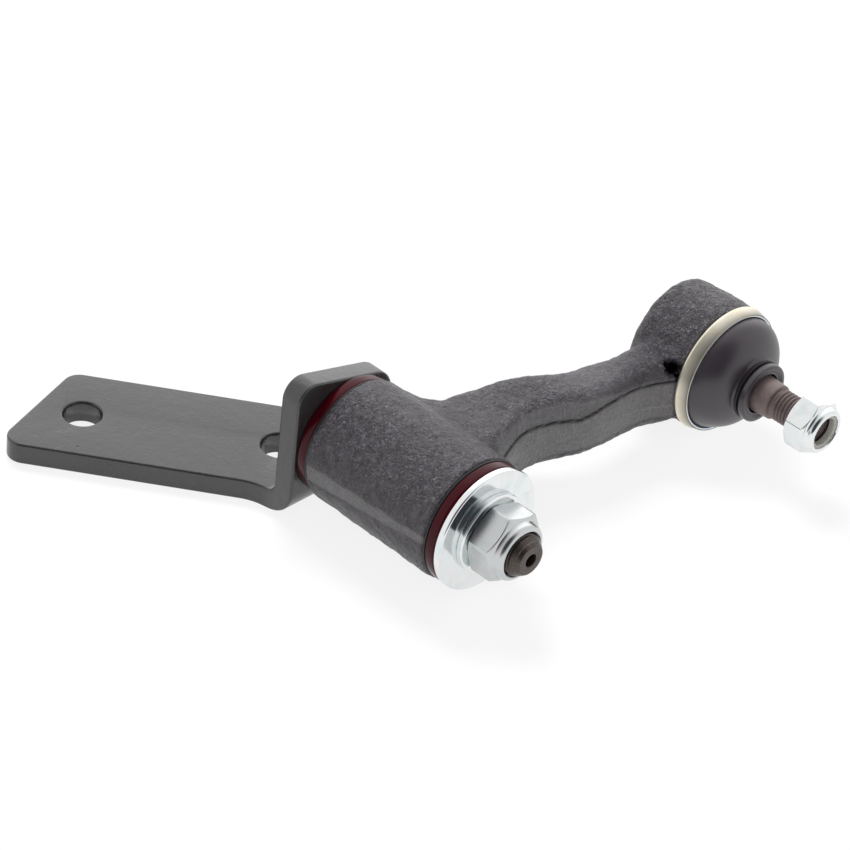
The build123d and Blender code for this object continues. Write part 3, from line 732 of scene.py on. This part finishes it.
def beam_marks(skin):
    """The sheared band on the beam's front face with its ridge, crease, step and upper edge; the ridge and
    the edge also carry a painted highlight and the crease a painted shade.
    """
    dx, dz = skin.dx, skin.dz
    lengthwise = skin.points * (1, 0, 0)
    front = skin.on_beam * skin.facing
    top, foot, line = (along(t, dx) for t in (TRIM_TOP, TRIM_FOOT, CREASE_LINE))
    wander = noise_at(lengthwise, 9, 3.0) * 0.6
    band = smoothstep(-0.5, 0.5, top + wander - dz) * smoothstep(-0.5, 0.5, dz - foot - wander)
    root = smoothstep(23, 27, dx + 0.25 * (dz + 4))
    face = smoothstep(2.5, -1.5, dz - line) * smoothstep(-12.5, -10.5, dz)
    trim = front * root * np.maximum(face, 0.8 * band)
    ridge = front * hump(dz, foot + wander, 0.65) * smoothstep(-0.3, 0.5, noise_at(lengthwise, 5.0, 11.0))
    gap = dz - line - noise_at(lengthwise, 3.2, 8.0) * 0.35
    crease = front * hump(gap, 0, 0.42)
    step = front * smoothstep(-0.6, 0.3, -gap) * band
    edge = front * hump(dz, top + wander, 0.7) * smoothstep(112, 104, dx)
    back_trim = skin.on_beam * smoothstep(0.6, 0.9, -skin.forward)
    back_trim *= smoothstep(5.5, 4.5, np.abs(dz - 1.0 + wander))
    return np.maximum(trim, 0.7 * back_trim), ridge, crease, step, edge


def barrel_marks(skin, rear, front, radius):
    """The sheared band along the barrel's side and a painted shade line at its upper edge."""
    angle = np.degrees(np.arctan2(skin.dz, skin.dx)) % 360
    run = (skin.station - rear) / (front - rear)
    upper = 178 - 7 * run
    lower = 196 - 17 * run
    wave = noise_at(skin.points * (0, 1, 0), 14, 5.0) * 1.2
    side = smoothstep(-1.2, 0.6, angle - upper + wave) * smoothstep(-1.2, 0.6, lower - angle + wave)
    side = side * (skin.from_pivot < radius + 1.5) * (skin.from_pivot > radius - 1.5)
    return side, side * smoothstep(0.9, 0.5, np.abs(angle - upper)) * 0.5


def sculpt_forging(mesh, depth):
    """Moves the forging's skin: flash trims, a crease, a pocket by the ring and the forged lumps; stores the
    trim mask and the masks of painted shade and painted highlight.
    """
    points = reshape_forging(surface(mesh_points(mesh), mesh_normals(mesh)))
    set_points(mesh, points)
    normals = mesh_normals(mesh)
    skin = surface(points, normals)
    dx, dz = skin.dx, skin.dz
    barrel_rear = reach("rear_seal")[1]
    barrel_front = reach("front_seal")[0]
    barrel_r = reach("large_washer")[2] + 0.5
    # the bores, the seats and the barrel's end faces stay plain
    outer = smoothstep(17, 19, skin.from_pivot)
    outer *= np.where(skin.from_ball < 30, smoothstep(19.5, 20.8, skin.from_ball), 1)
    ends = smoothstep(0.2, 1.4, skin.station - barrel_rear)
    ends *= smoothstep(0.2, 1.4, barrel_front - skin.station)
    outer *= np.where(skin.from_pivot < barrel_r + 1.5, ends, 1)
    trim, ridge, crease, step, edge = beam_marks(skin)
    side, rim = barrel_marks(skin, barrel_rear, barrel_front, barrel_r)
    trim = np.maximum(trim, 0.8 * side)
    # the pocket by the ring: a real dip, painted black as shade
    pocket = mark_at(skin, POCKET) * smoothstep(0.1, 0.6, skin.forward)
    pit = smoothstep(0.38, 0.62, np.clip(pocket * (1.0 + 0.9 * noise_at(points, 1.6, 4.0)), 0, 1))
    blob = mark_at(skin, BLOB) * skin.facing
    # the fold where the beam's front face leaves the barrel, darkened with painted shade
    fold = hump(dx, 24.6 + 0.12 * dz, 1.5) * smoothstep(9, 5, dz) * smoothstep(-13, -8, dz)
    fold *= smoothstep(0.1, 0.5, skin.forward) * (skin.station < barrel_front - 1)
    lumps = (0.9 * noise_at(points, 7.0, 1.0) + 0.75 * noise_at(points, 2.6, 2.0)
             + 0.45 * noise_at(points, 1.2, 6.0))
    shove = depth * lumps * outer * (1 - 0.75 * trim)
    shove += outer * (0.4 * step - 0.6 * crease + 0.6 * ridge + 0.3 * edge - 2.6 * pit + 0.5 * blob)
    shove -= 0.7 * fold + 0.2 * side
    set_points(mesh, points + normals * shove[:, None])
    # masks for the material: painted shade in the crease, fold, pocket and barrel band's edge; painted
    # highlights along the ridges, on the upper faces and on the beam's dip
    upward = smoothstep(0.3, 0.95, skin.up)
    set_mask(mesh, "trim", trim * 0.9 - pit)
    set_mask(mesh, "ridge_highlight", ridge + 0.5 * edge)
    set_mask(mesh, "upper", upward)
    set_mask(mesh, "sheen", upward * (skin.bx < -20) * hump(dx, 80, 13))
    set_mask(mesh, "crease", np.maximum(np.maximum(crease * 0.85, 0.6 * fold), np.maximum(pit, rim)))


class IDLER_OT_forging(bpy.types.Operator):
    """Builds the forged arm with its trimmed flash, crease and rough skin"""
    bl_idname = "idler_arm.forging"
    bl_label = "Forged Arm"

    def execute(self, context):
        finish = context.scene.idler_arm.forging
        piece = copy_of_node("forged_arm", "idler_arm")
        remesh = piece.modifiers.new("Remesh", "REMESH")
        remesh.mode = "VOXEL"
        remesh.voxel_size = finish.voxel
        relax = piece.modifiers.new("Relax", "SMOOTH")
        relax.factor = 0.5
        relax.iterations = 2
        apply_modifiers(piece)
        sculpt_forging(piece.data, finish.roughness_depth / MM)
        piece.data.shade_smooth()
        dress(piece, forging_material(finish), "arm", "forging", "idler_arm")
        return {"FINISHED"}


class IDLER_OT_bracket(bpy.types.Operator):
    """Finishes the bent bracket plate with its coating"""
    bl_idname = "idler_arm.bracket"
    bl_label = "Bracket Plate"

    def execute(self, context):
        finish = context.scene.idler_arm.bracket
        piece = copy_of_node("bracket", "bracket_plate")
        piece.data.shade_smooth()
        piece.data.set_sharp_from_angle(angle=radians(35))
        dress(piece, coated_plate_material(finish), "bracket", "bracket_paint", "bracket_plate")
        return {"FINISHED"}


class IDLER_OT_bushes(bpy.types.Operator):
    """Builds the flanged bushes and the thin seals at both ends of the barrel"""
    bl_idname = "idler_arm.bushes"
    bl_label = "Bushes and Seals"

    def execute(self, context):
        finish = context.scene.idler_arm.bush
        nylon = moulded_material("red_nylon", finish.nylon_colour, rgba(finish.nylon_colour, 1.5)[:3], 0.12,
                                 Specular_IOR_Level=0.16)
        rubber = moulded_material("seal_rubber", (0.01, 0.01, 0.011), (0.02, 0.02, 0.021), 0.5)
        lip = finish.lip_round / MM
        shaft_r = 11.05
        sleeve_r = 15.0
        seal_bore = 15.4
        for end in ("rear", "front"):
            low, high, radius = reach(f"{end}_bush")
            back, front, seal_r = reach(f"{end}_seal")
            face, tip, flange = (low, high, back) if end == "rear" else (high, low, front)
            outline = rounded([(face, shaft_r, 0.3), (face, radius, lip), (flange, radius, lip * 0.6),
                               (flange, sleeve_r, 0), (tip, sleeve_r, 0.4), (tip, shaft_r, 0.4)])
            dress(lathe(f"{end}_bush_piece", outline, PIVOT), nylon, "arm", "bush_red", f"{end}_bush")
            outline = rounded([(back, seal_bore, 0), (back, seal_r, 0.25), (front, seal_r, 0.25),
                               (front, seal_bore, 0)], 3)
            dress(lathe(f"{end}_seal_piece", outline, PIVOT), rubber, "arm", "black_rubber", f"{end}_seal")
        return {"FINISHED"}


def zinc(context, name="bright_plating", level=1.0, rough=0.09):
    """A bright plating, built once for each name; level scales its colour."""
    made = bpy.data.materials.get(name)
    if made:
        return made
    finish = context.scene.idler_arm.hardware
    tones = (rgba(tone, level)[:3] for tone in (finish.zinc_colour, finish.cool_reflection_colour, finish.warm_colour))
    return plated_material(name, *tones, 0.5, 7.0, rough)


class IDLER_OT_washers(bpy.types.Operator):
    """Builds the two plated washers under the pivot nut"""
    bl_idname = "idler_arm.washers"
    bl_label = "Washers"

    def execute(self, context):
        bore = 8.3
        for node in ("large_washer", "small_washer"):
            low, high, radius = reach(node)
            outline = rounded([(low, bore, 0), (low, radius, 0.5), (high, radius, 0.7), (high, bore, 0.3)])
            dress(lathe(f"{node}_piece", outline, PIVOT), zinc(context), "bracket", "bright_zinc", node)
        return {"FINISHED"}


def nut_piece(name, centre, start, hex_end, end, flats, collar_r, insert_r, bore_r, turn):
    """A lock nut: chamfered hexagon, rolled collar and an open bore; sizes in millimetres."""
    slope = tan(radians(30))
    soft = 0.18  # rounding of the hexagon's ends
    roll = (end - hex_end) * 0.5
    mouth = insert_r - 0.9
    insert_top = end - 0.8
    insert_foot = end - 3.4
    collar = [(hex_end + 0.05, flats / 2 * 0.985), (hex_end + 0.12, collar_r + 0.9),
              (hex_end + 0.45, collar_r + 0.25), (hex_end + 1.0, collar_r)]
    for k in range(9):
        a = pi / 2 * k / 8
        collar.append((end - roll + roll * sin(a), collar_r - roll + roll * cos(a)))
    bore = [(end - 0.05, mouth + 0.25), (end - 0.35, mouth), (insert_top, mouth), (insert_top, insert_r),
            (insert_foot, insert_r), (insert_foot, bore_r), (start, bore_r)]

    def section(angle):
        """The nut's outline at one angle."""
        sector = (angle - turn + pi / 6) % (pi / 3) - pi / 6
        r_hex = min(flats / 2 / cos(sector), flats / sqrt(3) * 0.985)
        drop = (r_hex - flats / 2) * slope
        foot = start + drop
        head = hex_end - drop
        hexagon = [(start, bore_r + 0.6), (start, flats / 2 * 0.97), (foot - 0.02, r_hex - soft),
                   (foot + soft, r_hex), (head - soft, r_hex), (head + 0.02, r_hex - soft)]
        return hexagon + collar + bore

    return turned(name, centre, section, smooth_angle=28.0)


class IDLER_OT_nuts(bpy.types.Operator):
    """Builds both lock nuts and their nylon inserts"""
    bl_idname = "idler_arm.nuts"
    bl_label = "Lock Nuts"

    def execute(self, context):
        finish = context.scene.idler_arm.hardware
        dark = moulded_material("blue_nylon_insert", (0.012, 0.016, 0.035), (0.025, 0.035, 0.07), 0.3)
        pale = moulded_material("beige_nylon_insert", (0.32, 0.31, 0.28), (0.45, 0.44, 0.4), 0.35)
        sets = (("pivot_nut", PIVOT, finish.pivot_flats / MM, 10.75, 14.0, 8.1, dark, "bracket",
                 "blue_nylon", 8.15),
                ("link_nut", BALL, finish.link_flats / MM, 8.7, 10.0, 6.1, pale, "stud",
                 "beige_nylon", 5.35))
        for node, centre, flats, collar_r, turn, bore_r, nylon, body, slot, nylon_r in sets:
            low, high, _ = reach(node)
            back, front, insert_r = reach(f"{node}_insert")
            piece = nut_piece(f"{node}_piece", centre, low, back, high, flats, collar_r, insert_r, bore_r,
                              radians(turn))
            plate = zinc(context, "dull_plating", 0.72, 0.2) if node == "pivot_nut" else zinc(context)
            dress(piece, plate, body, "bright_zinc", node)
            outline = rounded([(back, nylon_r, 0), (back, insert_r, 0), (front, insert_r, 0.2),
                               (front, nylon_r, 0.5)])
            dress(lathe(f"{node}_insert_piece", outline, centre), nylon, body, slot, f"{node}_insert")
        return {"FINISHED"}


class IDLER_OT_studs(bpy.types.Operator):
    """Builds the ball stud and the pivot shaft with their cut threads"""
    bl_idname = "idler_arm.studs"
    bl_label = "Stud and Shaft"

    def execute(self, context):
        finish = context.scene.idler_arm.stud
        brown = worn_steel_material("phosphated_stud", finish.stud_colour, (0.32, 0.3, 0.28))
        oiled = worn_steel_material("oiled_shaft", finish.shaft_colour, (0.3, 0.26, 0.24), 0.26, 0.85)
        _, tip, ball_r = reach("ball_stud")
        ball = -BALL.y / MM
        taper = ball + 25.0
        groove = taper + 12.0
        neck_r = 7.0
        neck_angle = pi - np.arcsin(neck_r / ball_r)
        outline = []
        for k in range(25):
            a = pi - neck_angle * k / 24
            outline.append((ball + ball_r * cos(a), max(ball_r * sin(a), 0.02)))
        outline += rounded([(*outline[-1], 0), (taper - 1.6, neck_r, 0.6), (taper, 7.4, 0.5),
                            (groove, 6.65, 0.35), (groove + 0.5, 5.35, 0.3), (groove + 2.0, 5.35, 0.3),
                            (groove + 2.4, 4.6, 0), (groove + 2.4, 0.02, 0)], 4)[1:]
        dress(lathe("ball_stud_piece", outline, BALL), brown, "stud", "phosphate_steel", "ball_stud")
        thread = threaded_rod("ball_stud_thread", BALL, groove + 1.4, tip, 5.95, 0.85, finish.stud_pitch / MM,
                              1.0, 4.9, brown)
        dress(thread, None, "stud", "phosphate_steel")

        rear, tip, head_r = reach("pivot_shaft")
        flange_back = rear + 4.0
        bush_rear = reach("rear_bush")[0]
        washer_rear = reach("large_washer")[0]
        hole_r = 2.5
        outline = rounded([(rear, 0.02, 0), (rear, 11.1, 0.8), (flange_back - 1.6, head_r, 0.8),
                           (flange_back, head_r, 0.2), (flange_back, 10.0, 0), (bush_rear, 10.0, 0),
                           (bush_rear, 11.0, 0), (washer_rear, 11.0, 0), (washer_rear, 6.8, 0),
                           (tip - 1.2, 6.6, 0.2), (tip, 5.6, 0.35), (tip, hole_r, 0.2),
                           (tip - 7.0, hole_r, 0), (tip - 8.6, 0.02, 0)], 4)
        dress(lathe("pivot_shaft_piece", outline, PIVOT), oiled, "bracket", "dark_steel", "pivot_shaft")
        thread = threaded_rod("pivot_shaft_thread", PIVOT, washer_rear + 0.3, tip - 0.4, 7.95, 0.9,
                              finish.shaft_pitch / MM, 0.8, 5.3, oiled)
        hollow_thread(thread, tip)
        dress(thread, None, "bracket", "dark_steel")
        return {"FINISHED"}


def hollow_thread(thread, tip):
    """Opens the thread's end caps and turns their rims inwards, so the centre hole stays open."""
    middle = -(tip - 20) * MM
    shape = bmesh.new()
    shape.from_mesh(thread.data)
    caps = [face for face in shape.faces if len(face.verts) > 4]
    bmesh.ops.delete(shape, geom=caps, context="FACES_ONLY")
    rims = [edge for edge in shape.edges if edge.is_boundary]
    for at_front in (True, False):
        loop = [e for e in rims if (sum(v.co.y for v in e.verts) / 2 < middle) == at_front]
        made = bmesh.ops.extrude_edge_only(shape, edges=loop)
        for v in (part for part in made["geom"] if isinstance(part, bmesh.types.BMVert)):
            v.co -= Vector((v.co.x - PIVOT.x, 0, v.co.z - PIVOT.z)) * 0.2
    bmesh.ops.recalc_face_normals(shape, faces=shape.faces)
    shape.to_mesh(thread.data)
    shape.free()


class IDLER_OT_seats(bpy.types.Operator):
    """Finishes the hidden seats, pad, retainer and the clip of the ball joint"""
    bl_idname = "idler_arm.seats"
    bl_label = "Ball Seats"

    def execute(self, context):
        acetal = moulded_material("acetal_seat", (0.6, 0.58, 0.52), (0.7, 0.68, 0.62), 0.4)
        steel = worn_steel_material("retainer_steel", (0.2, 0.19, 0.18), (0.35, 0.34, 0.33))
        pad = moulded_material("pad_rubber", (0.015, 0.015, 0.015), (0.03, 0.03, 0.03), 0.6)
        wire = worn_steel_material("blackened_wire", (0.012, 0.011, 0.012), (0.03, 0.03, 0.03), 0.5, 0.2)
        paints = {"rear_seat": acetal, "front_seat": acetal, "seat_retainer": steel, "boot_clip": wire,
                  "preload_pad": pad}
        for node, paint in paints.items():
            piece = frame["nodes"][node]
            piece.data.materials.clear()
            piece.data.materials.append(paint)
        return {"FINISHED"}


def dome(start, end, bulge, steps=18):
    """Points of a wall between two (station, radius) ends, bulged outwards from the straight line."""
    run, rise = end[0] - start[0], end[1] - start[1]
    points = []
    for k in range(steps + 1):
        t = k / steps
        out = 4 * t * (1 - t) * bulge / sqrt(run ** 2 + rise ** 2)
        points.append((start[0] + run * t - out * rise, start[1] + rise * t + out * run))
    return points


class IDLER_OT_boot(bpy.types.Operator):
    """Builds the rubber dust boot, with its dome leaning to one side."""
    bl_idname = "idler_arm.boot"
    bl_label = "Dust Boot"

    def execute(self, context):
        finish = context.scene.idler_arm.boot
        base, tip, rim_r = reach("dust_boot")
        base_front = base + 0.8
        throat = tip - 5.3
        wall = 1.6
        bulge = 2.6
        dome_r = rim_r - 0.8
        lip_r = 7.7
        sag = finish.sag / MM
        outline = [(base, rim_r - 0.05), (base_front - 0.1, rim_r - 0.05), (base_front, rim_r - 0.2)]
        outline += dome((base_front, dome_r), (throat - 0.5, 11.6), bulge)
        outline += rounded([(throat, 11.1, 0.3), (throat + 0.2, 10.0, 0.5), (tip - 3.3, 10.0, 0.5),
                            (tip - 3.1, 11.3, 0.9), (tip - 0.2, 11.35, 1.1), (tip, 9.6, 0.6),
                            (tip - 0.9, 8.6, 0.5), (tip - 0.6, lip_r, 0.4)], 4)
        outline += reversed(dome((base, dome_r - wall), (throat - wall, lip_r + 1.4), bulge))

        def lean(x, station, z):
            """Leans the dome's middle to one side."""
            t = min(max((station - base_front) / (throat - base_front), 0), 1)
            shift = sag * sin(pi * t) * min(1, sqrt(x * x + z * z) / 8)
            return x + shift * 0.5, station, z + shift

        rubber = moulded_material("boot_rubber_skin", finish.rubber_colour,
                                  rgba(finish.rubber_colour, 1.8)[:3], 0.27, 3.0, 0.05,
                                  Specular_IOR_Level=0.75)
        piece = lathe("dust_boot_piece", outline, BALL, bend=lean)
        piece.data.materials.append(rubber)
        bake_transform(piece)
        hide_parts("dust_boot")
        return {"FINISHED"}


class IDLER_OT_ring(bpy.types.Operator):
    """Builds the pressed and plated ring that holds the boot"""
    bl_idname = "idler_arm.ring"
    bl_label = "Boot Ring"

    def execute(self, context):
        finish = context.scene.idler_arm.boot
        low, high, radius = reach("boot_ring")
        rim_r = reach("dust_boot")[2]
        inner_r = rim_r - 0.7
        outline = rounded([
            (low, rim_r + 0.02, 0), (low, radius - 0.1, 0.35), (low + 0.8, radius, 0.6),
            (high - 0.3, radius - 1.2, 1.1), (high - 0.05, inner_r + 1.1, 0.2),
            (high - 0.3, inner_r + 0.95, 0.1), (high - 0.05, inner_r + 0.75, 0.2), (high, inner_r + 0.2, 0.3),
            (high - 0.85, inner_r, 0.2), (high - 0.9, rim_r + 0.02, 0)])
        paint = plated_material("yellow_plating", finish.ring_colour, (0.6, 0.66, 0.62), (0.82, 0.66, 0.45),
                                0.6, 9.0, 0.3)
        tree, shader = paint.node_tree, paint.node_tree.nodes["Principled BSDF"]
        shader.inputs["Metallic"].default_value = 0.82
        colour = shader.inputs["Base Color"].links[0].from_socket
        # painted light on the ring: a painted shade band on the rear edge, a painted reflection on the inner
        # lip and a painted shadow line beside it
        tones = {"edge": (0.2, 0.13, 0.07), "lip": (0.72, 0.82, 0.95), "shadow": (0.06, 0.055, 0.06)}
        for name, tone in tones.items():
            colour = mix_colour(tree, mask(tree, name), colour, rgba(tone))
        tree.links.new(colour, shader.inputs["Base Color"])
        piece = lathe("boot_ring_piece", outline, BALL)
        points = mesh_points(piece.data)
        station = -points[:, 1]
        out = np.hypot(points[:, 0] - BALL.x / MM, points[:, 2] - BALL.z / MM) - inner_r
        # masks of the painted shade on the rear edge, the painted reflection on the inner lip and the painted
        # shadow line
        set_mask(piece.data, "edge", 0.8 * smoothstep(low + 0.45, low + 0.1, station))
        set_mask(piece.data, "lip", smoothstep(0.75, 0.5, out) * (station > high - 0.6))
        set_mask(piece.data, "shadow", hump(out, 0.95, 0.16) * (station > high - 0.9))
        dress(piece, paint, "arm", "yellow_zinc", "boot_ring")
        return {"FINISHED"}


# Stage

def white_room(settings):
    """A white world; in gloss it shows the studio's unlit side and its brightest side."""
    world = bpy.data.worlds.new("white_room")
    world.use_nodes = True
    tree = world.node_tree
    tree.nodes.clear()
    rays = add(tree, "ShaderNodeLightPath")
    seen = math_node(tree, "MAXIMUM", rays.outputs["Is Camera Ray"], rays.outputs["Is Transmission Ray"])
    way = add(tree, "ShaderNodeTexCoord").outputs["Generated"]

    def cone(axis, outside, inside, to_low, to_high):
        """A value that changes between two angles, in degrees, round an axis."""
        near = add(tree, "ShaderNodeVectorMath", operation="DOT_PRODUCT",
                   inputs={0: way, 1: Vector(axis).normalized()})
        return remap(tree, near.outputs["Value"], cos(radians(outside)), cos(radians(inside)), to_low,
                     to_high, "SMOOTHSTEP")

    unlit = cone(settings.dark_way, 62, 25, 0.0, 1.0)
    room = mix_colour(tree, unlit, (1, 1, 1, 1), rgba(settings.dark_colour))
    glow = cone(settings.bright_way, 58, 12, 1.0, settings.bright_strength)
    soft = add(tree, "ShaderNodeBackground", inputs={0: (1, 1, 1, 1), 1: settings.sky_strength})
    white = add(tree, "ShaderNodeBackground", inputs={0: (1, 1, 1, 1), 1: 1.0})
    studio = add(tree, "ShaderNodeBackground", inputs={0: room, 1: glow})
    mixed = add(tree, "ShaderNodeMixShader",
                inputs={0: rays.outputs["Is Glossy Ray"], 1: soft.outputs[0], 2: studio.outputs[0]})
    mixed = add(tree, "ShaderNodeMixShader", inputs={0: seen, 1: mixed.outputs[0], 2: white.outputs[0]})
    tree.links.new(mixed.outputs[0], add(tree, "ShaderNodeOutputWorld").inputs[0])
    return world


def white_floor():
    """A floor that looks white to the camera and keeps the object's shadow."""
    half = 6.0
    height = CAD_BOX[0][2] - 0.0005
    mesh = bpy.data.meshes.new("floor")
    corners = [(x * half, y * half, height) for x, y in ((-1, -1), (1, -1), (1, 1), (-1, 1))]
    mesh.from_pydata(corners, [], [(0, 1, 2, 3)])
    floor = placed("floor", mesh)
    paint, tree, shader = material("white_floor", Roughness=0.9, Specular_IOR_Level=0.0)
    shader.inputs["Base Color"].default_value = (0.9, 0.9, 0.9, 1)
    rays = add(tree, "ShaderNodeLightPath")
    seen = math_node(tree, "MAXIMUM", rays.outputs["Is Camera Ray"], rays.outputs["Is Glossy Ray"])
    glow = add(tree, "ShaderNodeEmission", inputs={0: (1, 1, 1, 1), 1: 1.0})
    mixed = add(tree, "ShaderNodeMixShader",
                inputs={0: times(tree, seen, 0.84), 1: shader.outputs[0], 2: glow.outputs[0]})
    tree.links.new(mixed.outputs[0], tree.nodes["Material Output"].inputs["Surface"])
    mesh.materials.append(paint)


def soft_lamps():
    """Three square soft lamps, hidden from the gloss."""
    target = Vector((0.08, -0.1, 0.0))
    lamps = (("key", (0.25, 0.5, 1.2), 0.5, 17.0), ("fill", (-0.9, -0.6, 0.8), 0.8, 5.0),
             ("side", (0.9, -0.8, 0.6), 0.6, 3.0))
    for name, place, size, power in lamps:
        light = bpy.data.lights.new(f"{name}_softbox", "AREA")
        light.shape = "SQUARE"
        light.size = size
        light.energy = power
        lamp = placed(f"{name}_softbox", light)
        lamp.location = place
        lamp.rotation_euler = (target - Vector(place)).to_track_quat("-Z", "Y").to_euler()
        lamp.visible_glossy = False


def photo_camera(lens):
    """The camera, at the photograph's viewing angle."""
    data = bpy.data.cameras.new("camera")
    data.lens = lens
    data.sensor_width = 36.0
    data.clip_end = 50.0
    right = Vector((0.7056, -0.7023, 0.0944)).normalized()
    back = Vector((-0.6073, -0.5307, 0.5913)).normalized()
    up = back.cross(right).normalized()
    turn = Matrix((right, up, back)).transposed().to_4x4()
    camera = placed("camera", data)
    camera.matrix_world = Matrix.Translation(Vector((-688.7, -715.0, 747.9)) * MM) @ turn
    bpy.context.scene.camera = camera


class IDLER_OT_stage(bpy.types.Operator):
    """Sets the white floor, the backdrop, the soft lights and the camera"""
    bl_idname = "idler_arm.stage"
    bl_label = "Stage"

    def execute(self, context):
        settings = context.scene.idler_arm.stage
        context.scene.world = white_room(settings)
        white_floor()
        soft_lamps()
        photo_camera(settings.lens)
        context.scene.view_settings.view_transform = "Standard"
        return {"FINISHED"}


OPERATORS = (IDLER_OT_forging, IDLER_OT_bracket, IDLER_OT_bushes, IDLER_OT_washers, IDLER_OT_nuts,
             IDLER_OT_studs, IDLER_OT_seats, IDLER_OT_boot, IDLER_OT_ring, IDLER_OT_stage)


class IDLER_PT_panel(bpy.types.Panel):
    """Lists the settings and the pieces of the idler arm"""
    bl_label = "Idler Arm"
    bl_idname = "IDLER_PT_panel"
    bl_space_type = "VIEW_3D"
    bl_region_type = "UI"
    bl_category = "Idler Arm"

    def draw(self, context):
        settings = context.scene.idler_arm
        for name in ("forging", "bracket", "bush", "hardware", "stud", "boot", "stage"):
            box = self.layout.box()
            box.label(text=name.title())
            part = getattr(settings, name)
            for key in part.__annotations__:
                box.prop(part, key)
        for operator in OPERATORS:
            self.layout.operator(operator.bl_idname)


CLASSES = (ForgingSettings, BracketSettings, BushSettings, HardwareSettings, StudSettings, BootSettings,
           StageSettings, IdlerArmSettings, *OPERATORS, IDLER_PT_panel)


def register():
    for cls in CLASSES:
        bpy.utils.register_class(cls)
    bpy.types.Scene.idler_arm = PointerProperty(type=IdlerArmSettings)


def unregister():
    del bpy.types.Scene.idler_arm
    for cls in reversed(CLASSES):
        bpy.utils.unregister_class(cls)


def main():
    register()
    bpy.ops.idler_arm.forging()
    bpy.ops.idler_arm.bracket()
    bpy.ops.idler_arm.bushes()
    bpy.ops.idler_arm.washers()
    bpy.ops.idler_arm.nuts()
    bpy.ops.idler_arm.studs()
    bpy.ops.idler_arm.seats()
    bpy.ops.idler_arm.boot()
    bpy.ops.idler_arm.ring()
    bpy.ops.idler_arm.stage()


if __name__ == "__main__":
    main()
